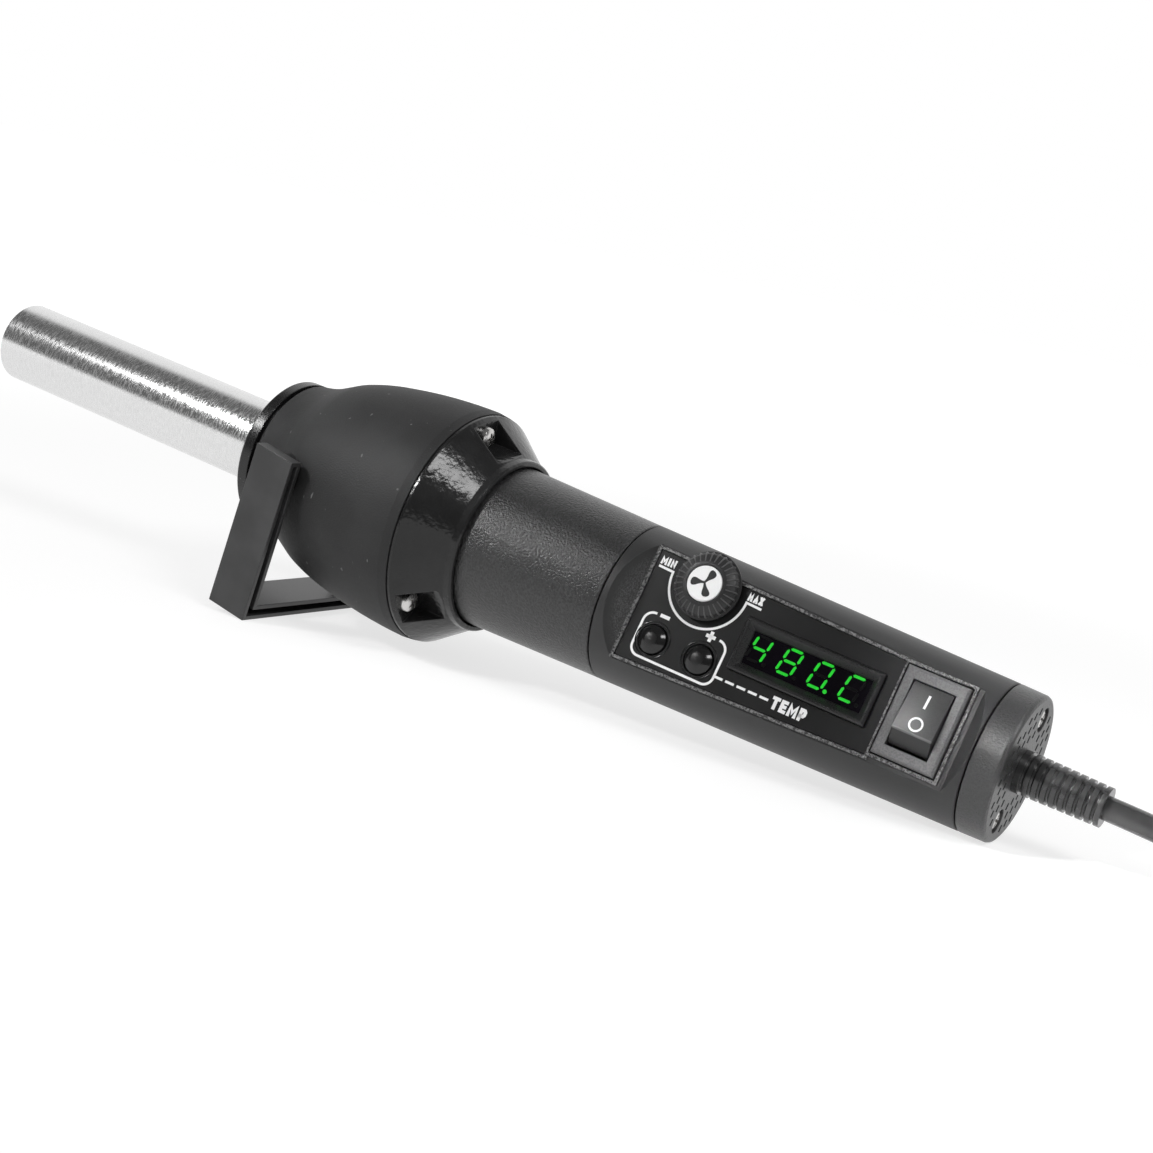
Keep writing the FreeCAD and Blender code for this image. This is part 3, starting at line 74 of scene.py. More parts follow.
class ToolFrame:
    """Axes of the tilted tool: x from the nozzle's mouth to the rear, y up the panel, z off it."""

    def __init__(self) -> None:
        """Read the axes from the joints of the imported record."""
        joints = {joint["name"]: joint for joint in frame["record"]["behaviour"]["joints"]}
        spin, turn, tilt = (joints[name] for name in ("fan_spin", "knob_turn", "rocker_tilt"))
        self.x = Vector(spin["axis"]).normalized()
        self.z = Vector(turn["axis"]).normalized()
        self.y = self.z.cross(self.x)
        on_axis = Vector(spin["pos_m"])
        tube = frame["nodes"]["nozzle_tube"].data.vertices
        self.mouth = on_axis + self.x * min(self.x.dot(v.co - on_axis) for v in tube)
        self.knob = self.local(Vector(turn["pos_m"]))
        self.rocker = self.local(Vector(tilt["pos_m"]))

    def local(self, point: Vector) -> Vector:
        """Return a point of the row frame as distances from the mouth along x, y and z."""
        offset = point - self.mouth
        return Vector((self.x.dot(offset), self.y.dot(offset), self.z.dot(offset)))

    def at(self, x: float = 0.0, y: float = 0.0, z: float = 0.0) -> Vector:
        """Return the point of the row frame at distances along the tool's axes, in metres."""
        return self.mouth + self.x * x + self.y * y + self.z * z

    def corners(self, node: str) -> list[Vector]:
        """Return every corner of a construction node along the tool's axes."""
        return [self.local(v.co) for v in frame["nodes"][node].data.vertices]

    def span(self, node: str) -> tuple[Vector, Vector]:
        """Measure a node along the tool's axes.

        Args:
            node: name of the construction node.

        Returns:
            Its lowest and highest corner.
        """
        corners = self.corners(node)
        low = Vector([min(c[i] for c in corners) for i in range(3)])
        high = Vector([max(c[i] for c in corners) for i in range(3)])
        return low, high

    def middle(self, node: str) -> Vector:
        """Return the middle of a node's box along the tool's axes."""
        low, high = self.span(node)
        return (low + high) / 2

    def taper(self, node: str, end_share: float = 0.15) -> tuple[Point2, Point2]:
        """Measure the outer radius of a turned node's underside near each of its ends.

        Args:
            node: name of the construction node.
            end_share: share of the node's length that counts as an end.

        Returns:
            The place along the tool and the radius there, in millimetres, at front and rear.
        """
        corners = [corner / MM for corner in self.corners(node)]
        sized = [(c.x, math.hypot(c.y, c.z)) for c in corners if c.z < 0]
        low, high = min(sized)[0], max(sized)[0]
        end = end_share * (high - low)
        front = max((r, x) for x, r in sized if x < low + end)
        rear = max((r, x) for x, r in sized if x > high - end)
        return (front[1], front[0]), (rear[1], rear[0])

    def panel_matrix(self, x: float, y: float, z: float) -> Matrix:
        """Return the matrix that lays a drawing on the panel at a place, in metres."""
        return placed(self.at(x, y, z), (self.x, self.y, self.z))

    def axial_matrix(self, x: float, upright: bool = False) -> Matrix:
        """Place something that is drawn round the tool's axis.

        Args:
            x: distance along the tool, in metres.
            upright: count angles from straight up and not from the panel.

        Returns:
            The matrix that puts the drawing's x along the tool.
        """
        side = Vector((0, 1, 0)) if upright else self.y
        return placed(self.at(x), (self.x, side, self.x.cross(side)))

    def turned_matrix(self, x: float, y: float, z: float) -> Matrix:
        """Return the matrix that stands a shape turned round x on the panel at a place."""
        return placed(self.at(x, y, z), (self.z, self.x, self.y))


TOOL = ToolFrame()


# ---- node trees -------------------------------------------------------------------------
class Value:
    """A node's output that takes part in Python arithmetic."""

    def __init__(self, tree: "Tree", socket: bpy.types.NodeSocket) -> None:
        """Wrap a socket of a tree."""
        self.tree = tree
        self.socket = socket

    def math(self, operation: str, *others: Input) -> "Value":
        """Apply a Math node to this value and others."""
        inputs = {0: self, **dict(enumerate(others, 1))}
        return self.tree.add("ShaderNodeMath", {"operation": operation}, inputs)

    def __add__(self, other: Input) -> "Value":
        """Add."""
        return self.math("ADD", other)

    def __sub__(self, other: Input) -> "Value":
        """Subtract."""
        return self.math("SUBTRACT", other)

    def __rsub__(self, other: float) -> "Value":
        """Subtract from a number."""
        return (self * -1.0) + other

    def __mul__(self, other: Input) -> "Value":
        """Multiply."""
        return self.math("MULTIPLY", other)

    def __gt__(self, other: Input) -> "Value":
        """Give 1 where this is greater."""
        return self.math("GREATER_THAN", other)

    __radd__ = __add__
    __rmul__ = __mul__

    def swing(self, width: float) -> "Value":
        """Turn noise of 0 to 1 into a swing about zero."""
        return (self - 0.5) * width

    def hypot(self, other: "Value") -> "Value":
        """Return the distance that this value and another span."""
        return (self * self + other * other).math("SQRT")

    def step(self, low: float, high: float, to_low: float = 0.0, to_high: float = 1.0) -> "Value":
        """Map a range to another, clamped and eased.

        Args:
            low: start of this value's range.
            high: end of this value's range.
            to_low: what the start becomes.
            to_high: what the end becomes.

        Returns:
            The mapped value.
        """
        inputs = {"Value": self, "From Min": low, "From Max": high, "To Min": to_low,
                  "To Max": to_high}
        return self.tree.add("ShaderNodeMapRange", {"interpolation_type": "SMOOTHSTEP"}, inputs)


class Tree:
    """A node tree with one method that makes its nodes."""

    def __init__(self, tree: bpy.types.NodeTree) -> None:
        """Wrap an empty tree."""
        self.tree = tree

    @staticmethod
    def find(sockets: Iterable[bpy.types.NodeSocket], key: str | int) -> bpy.types.NodeSocket:
        """Find a live socket by its name or place."""
        live = [socket for socket in sockets if socket.enabled]
        return live[key] if isinstance(key, int) else next(s for s in live if s.name == key)

    def add(self, kind: str, settings: dict | None = None, inputs: dict | None = None,
            out: str | int = 0) -> Value:
        """Make a node.

        Args:
            kind: the node's type.
            settings: its properties, set first.
            inputs: values or links of its sockets, by name or place.
            out: which output to give back.

        Returns:
            The output as a value.
        """
        node = self.tree.nodes.new(kind)
        for name, setting in (settings or {}).items():
            setattr(node, name, setting)
        for key, given in (inputs or {}).items():
            socket = self.find(node.inputs, key)
            if isinstance(given, Value):
                self.tree.links.new(given.socket, socket)
            else:
                socket.default_value = given
        return Value(self, self.find(node.outputs, out) if node.outputs else None)


def rgba(colour: Colour | Value) -> Sequence[float] | Value:
    """Give a plain colour its alpha, and leave a value as it is."""
    return colour if isinstance(colour, Value) else (*colour, 1.0)


def toned(colour: Colour, tone: float) -> Colour:
    """Darken or lighten a colour."""
    return tuple(channel * tone for channel in colour)


class Shader(Tree):
    """A material's tree on Object coordinates."""

    def __init__(self, name: str) -> None:
        """Start an empty material.

        Args:
            name: the material's name.
        """
        self.material = bpy.data.materials.new(name)
        self.material.use_nodes = True
        super().__init__(self.material.node_tree)
        self.tree.nodes.clear()
        self.place = self.add("ShaderNodeTexCoord", out="Object")

    def along(self, origin: Vector, way: Vector) -> Value:
        """Measure distance from a point along a direction.

        Args:
            origin: the point, in metres.
            way: the direction, one long.

        Returns:
            The distance in millimetres.
        """
        inputs = {0: self.place, 1: origin}
        offset = self.add("ShaderNodeVectorMath", {"operation": "SUBTRACT"}, inputs)
        inputs = {0: offset, 1: way}
        length = self.add("ShaderNodeVectorMath", {"operation": "DOT_PRODUCT"}, inputs, "Value")
        return length * 1000.0

    def stretched(self, scale: Point3) -> Value:
        """Return the place squeezed along each axis, so that a pattern on it stretches."""
        return self.add("ShaderNodeMapping", None, {"Vector": self.place, "Scale": scale})

    def noise(self, size_mm: float, detail: float = 2.0, place: Value | None = None,
              roughness: float = 0.5) -> Value:
        """Make noise with patches of about a size.

        Args:
            size_mm: size of the patches.
            detail: how many finer octaves it has.
            place: where it is read, when not at the plain place.
            roughness: weight of the finer octaves.

        Returns:
            The noise, about 0 to 1.
        """
        inputs = {"Vector": place or self.place, "Scale": 1.0 / (size_mm * MM), "Detail": detail,
                  "Roughness": roughness}
        return self.add("ShaderNodeTexNoise", None, inputs)

    def mix(self, factor: Input, first: Colour | Value, second: Colour | Value) -> Value:
        """Mix two colours."""
        inputs = {"Factor": factor, "A": rgba(first), "B": rgba(second)}
        return self.add("ShaderNodeMix", {"data_type": "RGBA"}, inputs)

    def tones(self, factor: Value, colour: Colour, low: float, high: float = 1.0) -> Value:
        """Vary a colour between two tones of itself."""
        return self.mix(factor, toned(colour, low), toned(colour, high))

    def bump(self, height: Value, depth_mm: float, edge_mm: float | None = None) -> Value:
        """Turn a height of 0 to 1 into a normal.

        Args:
            height: the height.
            depth_mm: how deep a height of 1 is.
            edge_mm: radius that sharp edges seem to have, or None to leave them.

        Returns:
            The normal.
        """
        inputs = {"Height": height, "Distance": depth_mm * MM, "Strength": 1.0}
        if edge_mm is not None:
            inputs["Normal"] = self.add("ShaderNodeBevel", {"samples": 4}, {"Radius": edge_mm * MM})
        return self.add("ShaderNodeBump", None, inputs)

    def close(self, **inputs: Input) -> bpy.types.Material:
        """End the tree in a Principled shader.

        Args:
            inputs: the shader's sockets, with underscores for spaces.

        Returns:
            The material.
        """
        named = {key.replace("_", " "): value for key, value in inputs.items()}
        for key in {"Base Color", "Emission Color"} & set(named):
            named[key] = rgba(named[key])
        shader = self.add("ShaderNodeBsdfPrincipled", None, named)
        self.add("ShaderNodeOutputMaterial", None, {"Surface": shader})
        return self.material


# ---- finishes ---------------------------------------------------------------------------
@dataclass(frozen=True)
class Moulded:
    """A moulded plastic or rubber with a mould grain, faint clouds and, if any, fine scuffs."""

    colour: Colour
    roughness: float
    grain_mm: float = 0.35
    grain_depth_mm: float = 0.02
    edge_mm: float = 0.25
    mottle: float = 0.25
    specular: float = 0.5
    scuffs: float = 0.0
    scuff_mm: float = 1.3
    scuff_colour: Colour = (0.16, 0.16, 0.16)
    scuff_squeeze: Point3 = (1.0, 1.0, 0.3)
    cloud_mm: float = 14.0
    uneven: Point2 = (0.1, 0.16)

    def material(self, name: str) -> bpy.types.Material:
        """Build the material.

        Args:
            name: the material's name.

        Returns:
            The material.
        """
        shader = Shader(name)
        grain = shader.noise(self.grain_mm)
        cloud = shader.noise(self.cloud_mm, 3.0)
        colour = shader.tones(cloud.step(0.35, 0.65), self.colour, 1 - self.mottle, 1 + self.mottle)
        if self.scuffs:
            place = shader.stretched(self.scuff_squeeze)
            scuff = shader.noise(self.scuff_mm, 1.0, place).step(0.75, 0.79) * self.scuffs
            colour = shader.mix(scuff, colour, self.scuff_colour)
        rough = self.roughness + cloud.swing(self.uneven[0]) + grain.swing(self.uneven[1])
        normal = shader.bump(grain, self.grain_depth_mm, self.edge_mm)
        return shader.close(Base_Color=colour, Roughness=rough, Normal=normal,
                            Specular_IOR_Level=self.specular)


@dataclass(frozen=True)
class Eroded:
    """The sparkling spark-eroded skin of a grip, with smooth pits between small crests, painted
    shade in the pits and painted glints on the crests.
    """

    colour: Colour
    roughness: float
    specular: float = 0.5
    pit_mm: float = 0.4
    depth_mm: float = 0.07
    edge_mm: float = 0.3
    # painted shade and glints: tones of the pits and of the crests
    tones: Point2 = (0.85, 1.2)
    polish: float = 0.2

    def material(self, name: str) -> bpy.types.Material:
        """Build the material.

        Args:
            name: the material's name.

        Returns:
            The material.
        """
        shader = Shader(name)
        inputs = {"Vector": shader.place, "Scale": 1.0 / (self.pit_mm * MM)}
        cells = shader.add("ShaderNodeTexVoronoi", {"feature": "SMOOTH_F1"}, inputs)
        fine = shader.noise(self.pit_mm / 2)
        height = cells * 0.7 + fine * 0.5
        # painted shade and glints: the colour darkens in the pits and lightens on the crests
        colour = shader.tones(height.step(0.3, 0.75), self.colour, *self.tones)
        rough = self.roughness - fine.step(0.62, 0.74) * self.polish
        normal = shader.bump(height, self.depth_mm, self.edge_mm)
        return shader.close(Base_Color=colour, Roughness=rough, Normal=normal,
                            Specular_IOR_Level=self.specular)


@dataclass(frozen=True)
class HousingSkin:
    """The control housing: fine matte on its round, rough and lighter where planed and on rims.

    The sizes are in millimetres: a place counts as planed where it lies the cut's depth inside
    the tapered round, and as a rim where it stands higher than the rim's height on the panel.
    """

    colour: Colour
    planed: Colour
    speck: Colour
    roughness: float
    front: Point2
    rear: Point2
    panel: Point2
    crest: Colour = (0.2, 0.2, 0.2)
    tones: Point2 = (0.85, 1.15)
    # painted shade: tone of the planed facets along their outlines
    outline_shade_tone: float = 0.9
    rim: float = 13.35
    underside: float = 8.0
    cut: float = 0.3
    cut_blur: float = 0.12
    cut_wander: float = 0.25
    wander_mm: float = 1.4
    # painted shade: inset in millimetres over which the planed facets lighten from their outlines,
    # and the share of that taken off the rear facet
    fade: Point2 = (0.6, 3.4)
    rear_facet_shade: float = 0.75
    fine_mm: float = 0.3
    coarse_mm: float = 0.36
    crumb_mm: float = 0.55
    cloud_mm: float = 16.0
    relief_mm: float = 0.08
    edge_mm: float = 0.3

    def inside(self, along: Value, radius: Value) -> Value:
        """Return how far a place lies inside the tapered round."""
        slope = (self.rear[1] - self.front[1]) / (self.rear[0] - self.front[0])
        return (along * slope + (self.front[1] - slope * self.front[0])) - radius

    def material(self, name: str) -> bpy.types.Material:
        """Build the material.

        Args:
            name: the material's name.

        Returns:
            The material.
        """
        shader = Shader(name)
        height, along, across = (shader.along(TOOL.mouth, way) for way in (TOOL.z, TOOL.x, TOOL.y))
        inset = self.inside(along, height.hypot(across))
        edge = inset + shader.noise(self.wander_mm, 3.0).swing(self.cut_wander)
        level = edge.step(self.cut - self.cut_blur, self.cut + self.cut_blur)
        cut = level * (height > self.underside)
        behind = along > self.panel[1]
        rim = (height > self.rim) * ((along > self.panel[0]) * (1.0 - behind))
        fine = shader.noise(self.fine_mm)
        coarse = shader.noise(self.coarse_mm, 3.0, roughness=0.7)
        cloud = shader.noise(self.cloud_mm)
        plain = shader.tones(cloud.step(0.3, 0.7), self.colour, *self.tones)
        # painted shade: the planed facets darken and lose their light specks towards their outlines
        # and on the rear facet
        painted_facet_light = inset.step(*self.fade, 0.05, 1.0) * (1.0 - behind * self.rear_facet_shade)
        shaded_ground = shader.tones(painted_facet_light, self.planed, self.outline_shade_tone)
        raised = shader.mix(coarse.step(0.4, 0.68) * painted_facet_light, shaded_ground, self.speck)
        crumbs = shader.noise(self.crumb_mm, roughness=0.7).step(0.4, 0.6)
        edged = shader.mix(crumbs, self.planed, self.crest)
        colour = shader.mix(rim, shader.mix(cut, plain, raised), edged)
        rough = self.roughness + fine.swing(0.14) + cloud.swing(0.08)
        relief = fine * (1.0 - cut) * 0.5 + coarse * cut * (rim + 0.5)
        normal = shader.bump(relief, self.relief_mm, self.edge_mm)
        return shader.close(Base_Color=colour, Roughness=rough, Normal=normal)


@dataclass(frozen=True)
class ButtonSkin:
    """The dome buttons: worn matt in the middle and glossy towards their rims, with painted shade
    darkening their middles.
    """

    colour: Colour
    centre: float
    rim: float
    worn: Point2 = (0.9, 2.1)
    # painted shade: radii in millimetres over which the darkened middle returns to the full colour,
    # and the middle's tone
    dark: Point2 = (0.5, 3.2)
    centre_shade_tone: float = 0.6

    def material(self, name: str) -> bpy.types.Material:
        """Build the material.

        Args:
            name: the material's name.

        Returns:
            The material.
        """
        shader = Shader(name)
        away = []
        for node in ("minus_button", "plus_button"):
            middle = TOOL.middle(node)
            along = shader.along(TOOL.at(middle.x), TOOL.x)
            away.append(along.hypot(shader.along(TOOL.at(0.0, middle.y), TOOL.y)))
        near = away[0].math("MINIMUM", away[1])
        grain = shader.noise(0.4)
        rough = near.step(*self.worn, self.centre, self.rim) + grain.swing(0.06)
        # painted shade: the colour darkens towards each button's middle
        colour = shader.tones(near.step(*self.dark), self.colour, self.centre_shade_tone)
        normal = shader.bump(grain, 0.004, 0.2)
        return shader.close(Base_Color=colour, Roughness=rough, Normal=normal)


@dataclass(frozen=True)
class PaddleSkin:
    """The rocker's paddle: finely grained, with a painted highlight along its ridge, painted shade
    past it, and painted shade that deepens towards its low end.
    """

    colour: Colour
    # painted shade: colour of the short face past the ridge
    painted_shade: Colour
    # painted highlight: colour of the line along the ridge
    painted_ridge_highlight: Colour
    roughness: float
    ridge: Point2
    # width, fade and strength of the painted highlight along the ridge, in millimetres and shares
    highlight_mm: float = 0.2
    highlight_fade: float = 2.2
    highlight_share: float = 0.8
    # painted shade: the long face darkens over this distance from the ridge, to this tone
    shade_mm: float = 9.0
    shade_tone: float = 0.6
    # painted shade: where the short face's painted shade begins past the ridge, in millimetres
    # across
    turn: Point2 = (-0.25, 0.1)

    def material(self, name: str) -> bpy.types.Material:
        """Build the material.

        Args:
            name: the material's name.

        Returns:
            The material.
        """
        shader = Shader(name)
        pivot = TOOL.at(0.0, TOOL.rocker.y, TOOL.rocker.z)
        across = shader.along(pivot, TOOL.y) - self.ridge[0]
        away = across.hypot(shader.along(pivot, TOOL.z) - self.ridge[1])
        grain = shader.noise(0.35)
        # painted shade: the long face darkens towards its low end
        far = toned(self.colour, self.shade_tone)
        along = shader.mix(across.step(0.0, self.shade_mm), self.colour, far)
        # painted shade on the short face past the ridge
        body = shader.mix(across.step(*self.turn), self.painted_shade, along)
        flecked = shader.mix(grain.step(0.35, 0.65) * 0.3, body, self.painted_shade)
        # painted highlight: a light line along the ridge
        highlight_mask = away.step(self.highlight_mm, self.highlight_mm * self.highlight_fade, self.highlight_share, 0.0)
        colour = shader.mix(highlight_mask, flecked, self.painted_ridge_highlight)
        normal = shader.bump(grain, 0.03, 0.12)
        rough = self.roughness + grain.swing(0.16)
        return shader.close(Base_Color=colour, Roughness=rough, Normal=normal)


@dataclass(frozen=True)
class TurnedMetal:
    """Metal brushed round the tool's axis."""

    colour: Colour
    roughness: float
    dash: Point2 = (0.32, 1.92)
    band: Point2 = (1.1, 9.0)
    band_share: float = 0.1
    depth_mm: float = 0.014
    radius_mm: float = 11.0
    patch_mm: float = 9.0
    tones: Point2 = (0.93, 1.05)
    polish: Point2 = (-0.06, 0.1)

    def lines(self, shader: Shader, size: Point2) -> Value:
        """Draw scratches that run round the tool.

        Args:
            shader: the material's tree.
            size: their width and length, in millimetres.

        Returns:
            The scratches, about 0 to 1.
        """
        along, up, across = (shader.along(TOOL.mouth, way) for way in (TOOL.x, TOOL.z, TOOL.y))
        turn = across.math("ARCTAN2", up) * (self.radius_mm / size[1])
        place = shader.add("ShaderNodeCombineXYZ", None, {0: along * (1 / size[0]), 1: turn})
        inputs = {"Vector": place, "Scale": 1.0, "Detail": 2.0}
        return shader.add("ShaderNodeTexNoise", None, inputs)

    def material(self, name: str) -> bpy.types.Material:
        """Build the material.

        Args:
            name: the material's name.

        Returns:
            The material.
        """
        shader = Shader(name)
        dashes = self.lines(shader, self.dash)
        tone = dashes * (1 - self.band_share) + self.lines(shader, self.band) * self.band_share
        colour = shader.tones(tone.step(0.35, 0.65), self.colour, *self.tones)
        low, high = (self.roughness + change for change in self.polish)
        rough = dashes.step(0.4, 0.6, low, high) + shader.noise(self.patch_mm).swing(0.05)
        normal = shader.bump(tone, self.depth_mm, 0.15)
        return shader.close(Base_Color=colour, Roughness=rough, Normal=normal, Metallic=1.0)


@dataclass(frozen=True)
class PlainMetal:
    """Plated, drawn or oxidised metal with fine random scratches."""

    colour: Colour
    roughness: float
    stain: Colour = (0.25, 0.23, 0.2)
    stained: float = 0.15
    scratch_mm: float = 0.5
    scratch_squeeze: Point3 = (1.0, 6.0, 1.0)
    cloud_mm: float = 2.2

    def material(self, name: str) -> bpy.types.Material:
        """Build the material.

        Args:
            name: the material's name.

        Returns:
            The material.
        """
        shader = Shader(name)
        scratches = shader.noise(self.scratch_mm, 4.0, shader.stretched(self.scratch_squeeze))
        cloud = shader.noise(self.cloud_mm, 3.0)
        colour = shader.mix(cloud.step(0.5, 0.8) * self.stained, self.colour, self.stain)
        rough = self.roughness + scratches.swing(0.2) + cloud.swing(0.15)
        normal = shader.bump(scratches, 0.01, 0.12)
        return shader.close(Base_Color=colour, Roughness=rough, Normal=normal, Metallic=1.0)


@dataclass(frozen=True)
class Circuit:
    """A solder-masked board with tracks and pads."""

    colour: Colour
    track: Colour
    repeats: float = 260.0
    cover: float = 0.55

    def material(self, name: str) -> bpy.types.Material:
        """Build the material.

        Args:
            name: the material's name.

        Returns:
            The material.
        """
        shader = Shader(name)
        inputs = {"Vector": shader.place, "Scale": self.repeats, "Color1": (1, 1, 1, 1),
                  "Color2": (0, 0, 0, 1), "Mortar": (0.5, 0.5, 0.5, 1), "Mortar Size": 0.06}
        tracks = shader.add("ShaderNodeTexBrick", None, inputs)
        colour = shader.mix(tracks * self.cover, self.colour, self.track)
        rough = shader.noise(3.0) * 0.15 + 0.25
        return shader.close(Base_Color=colour, Roughness=rough, Normal=shader.bump(tracks, 0.02))


@dataclass(frozen=True)
class Mineral:
    """Ceramic, mica or ferrite: a fine chalky surface with a few darker specks."""

    colour: Colour
    roughness: float
    speck: Colour
    grain_mm: float = 0.25
    speck_mm: float = 0.9

    def material(self, name: str) -> bpy.types.Material:
        """Build the material.

        Args:
            name: the material's name.

        Returns:
            The material.
        """
        shader = Shader(name)
        grain = shader.noise(self.grain_mm, 3.0)
        specks = shader.noise(self.speck_mm, 4.0).step(0.62, 0.7)
        colour = shader.mix(specks, self.colour, self.speck)
        rough = self.roughness + grain.swing(0.2)
        return shader.close(Base_Color=colour, Roughness=rough, Normal=shader.bump(grain, 0.03))


@dataclass(frozen=True)
class Lit:
    """A display segment that gives its own light."""

    colour: Colour
    strength: float
    unlit: Colour = (0.01, 0.02, 0.01)

    def material(self, name: str) -> bpy.types.Material:
        """Build the material.

        Args:
            name: the material's name.

        Returns:
            The material.
        """
        shader = Shader(name)
        spread = shader.noise(0.8).step(0.3, 0.7)
        glow = shader.mix(spread, self.colour, toned(self.colour, 0.8))
        return shader.close(Base_Color=self.unlit, Emission_Color=glow,
                            Emission_Strength=self.strength, Roughness=0.3)


@dataclass(frozen=True)
class Print:
    """Screen-printed ink: flat, faintly uneven, with a soft edge sheen."""

    colour: Colour
    roughness: float = 0.45
    grain_mm: float = 0.12
    thin_tone: float = 0.93

    def material(self, name: str) -> bpy.types.Material:
        """Build the material.

        Args:
            name: the material's name.

        Returns:
            The material.
        """
        shader = Shader(name)
        grain = shader.noise(self.grain_mm)
        colour = shader.tones(grain.step(0.25, 0.75), self.colour, self.thin_tone)
        rough = self.roughness + grain.swing(0.1)
        return shader.close(Base_Color=colour, Roughness=rough, Normal=shader.bump(grain, 0.004))


def finishes() -> dict[str, object]:
    """Choose the finish of every material slot of the record.

    Returns:
        The finishes by slot.
    """
    front, rear = TOOL.taper("control_housing")
    panel = (TOOL.span("control_fascia")[0].x / MM - 0.9, TOOL.span("rocker_frame")[1].x / MM + 1.5)
    return {
        "steel_tube": TurnedMetal((0.76, 0.76, 0.76), 0.22),
        "mica": Mineral((0.5, 0.42, 0.3), 0.6, (0.3, 0.22, 0.12)),
        "heater_ceramic": Mineral((0.72, 0.68, 0.6), 0.75, (0.45, 0.4, 0.33)),
        "heating_wire": PlainMetal((0.3, 0.26, 0.24), 0.5, (0.12, 0.08, 0.07), 0.7),
        "probe_steel": PlainMetal((0.5, 0.5, 0.5), 0.35),
        "black_satin": Moulded((0.006, 0.006, 0.0062), 0.26, 0.3, 0.008, 0.4),
        "bell_black": Moulded((0.014, 0.014, 0.0143), 0.6, 0.4, 0.05, specular=0.42, scuffs=0.6),
        "plate_steel": TurnedMetal((0.5, 0.5, 0.5), 0.35),
        "screw_steel": PlainMetal((0.62, 0.61, 0.6), 0.25),
        "shroud_black": Moulded((0.02, 0.02, 0.02), 0.5),
        "impeller_white": Moulded((0.66, 0.66, 0.62), 0.45),
        "motor_steel": PlainMetal((0.42, 0.42, 0.43), 0.4),
        "gloss_black": Moulded((0.014, 0.014, 0.0142), 0.17, 1.6, 0.12, 0.4, specular=0.36),
        # painted shade in the pits and painted glints on the crests, from a quarter to nearly three
        # times the colour
        "grip_black": Eroded((0.0085, 0.0085, 0.0087), 0.32, 0.7, 0.5, 0.2, tones=(0.25, 2.8)),
        "housing_black": HousingSkin((0.022, 0.022, 0.0224), (0.026, 0.026, 0.0264),
                                     (0.09, 0.09, 0.091), 0.46, front, rear, panel),
        "fascia_black": Moulded((0.005, 0.005, 0.0052), 0.42, 0.2, 0.006, 0.2, specular=0.35),
        "bezel_black": Moulded((0.014, 0.014, 0.0145), 0.3, 0.3, 0.015, 0.35),
        "display_filter": Moulded((0.002, 0.001, 0.003), 0.2, 0.8, 0.002, 0.15, specular=0.15),
        "display_module": Moulded((0.02, 0.02, 0.02), 0.3),
        "knob_black": Moulded((0.02, 0.02, 0.0205), 0.42, 0.25, 0.012, 0.2),
        "white_print": Print((0.88, 0.88, 0.88), 0.4),
        "pot_body": Moulded((0.1, 0.14, 0.28), 0.45),
        "button_black": ButtonSkin((0.008, 0.008, 0.0082), 0.42, 0.16),
        "switch_black": Moulded((0.03, 0.03, 0.03), 0.4),
        "rocker_grey": Eroded((0.125, 0.125, 0.126), 0.5, 0.4, 0.4, 0.06),
        # painted shade past the ridge and a painted highlight along it
        "rocker_paddle": PaddleSkin((0.06, 0.06, 0.0606), (0.022, 0.022, 0.0223),
                                    (0.16, 0.16, 0.16), 0.36, Paddle.ridge),
        "brass": PlainMetal((0.66, 0.5, 0.26), 0.3, (0.3, 0.2, 0.1), 0.3),
        "circuit_green": Circuit((0.01, 0.1, 0.03), (0.03, 0.22, 0.07)),
        "ferrite": Mineral((0.05, 0.05, 0.05), 0.55, (0.1, 0.1, 0.1)),
        "capacitor_sleeve": Moulded((0.02, 0.03, 0.08), 0.25),
        "fuse_glass": Moulded((0.5, 0.55, 0.55), 0.1),
        "lead_sleeve": Moulded((0.4, 0.03, 0.02), 0.5),
        "cap_black": Eroded((0.03, 0.03, 0.0304), 0.36, 0.6, 0.5, 0.08, 0.35),
        "cord_rubber": Moulded((0.022, 0.022, 0.0224), 0.2, 0.6, 0.03, 0.3, specular=0.7),
        "cord_sheath": Moulded((0.03, 0.03, 0.0304), 0.16, 1.2, 0.01, 0.2, specular=0.7),
        "stand_black": Moulded((0.032, 0.032, 0.0325), 0.33, 0.3, 0.015, 0.35),
        "pin_plating": PlainMetal((0.7, 0.66, 0.58), 0.22),
    }


class Wardrobe:
    """Makes each material once and dresses nodes and pieces in it."""

    def __init__(self) -> None:
        """Start with the record's slots."""
        self.finishes = finishes()
        self.made: dict[str, bpy.types.Material] = {}

    def get(self, slot: str) -> bpy.types.Material:
        """Build the material of a slot on first use.

        Args:
            slot: the slot's name.

        Returns:
            The material.
        """
        if slot not in self.made:
            self.made[slot] = self.finishes[slot].material(slot)
        return self.made[slot]

    def dress_nodes(self) -> None:
        """Give every construction node the material of its slot."""
        for part in frame["record"]["subparts"]:
            node = frame["nodes"][part["node"]]
            material = self.get(part["material_slot"])
            node.data.materials.clear()
            node.data.materials.append(material)
            LOG.info("dressed %s in %s", part["node"], material.name)


# ---- mesh helpers -----------------------------------------------------------------------
def new_object(name: str, data: bpy.types.ID) -> bpy.types.Object:
    """Put a mesh, curve, lamp or camera in the scene.

    Args:
        name: the name of its object.
        data: what is put there.

    Returns:
        The object.
    """
    made = bpy.data.objects.new(name, data)
    bpy.context.scene.collection.objects.link(made)
    return made


def evaluated(piece: bpy.types.Object) -> bpy.types.Mesh:
    """Apply the modifiers of an object.

    Args:
        piece: the object.

    Returns:
        The mesh.
    """
    bpy.context.view_layer.update()
    graph = bpy.context.evaluated_depsgraph_get()
    return bpy.data.meshes.new_from_object(piece.evaluated_get(graph))


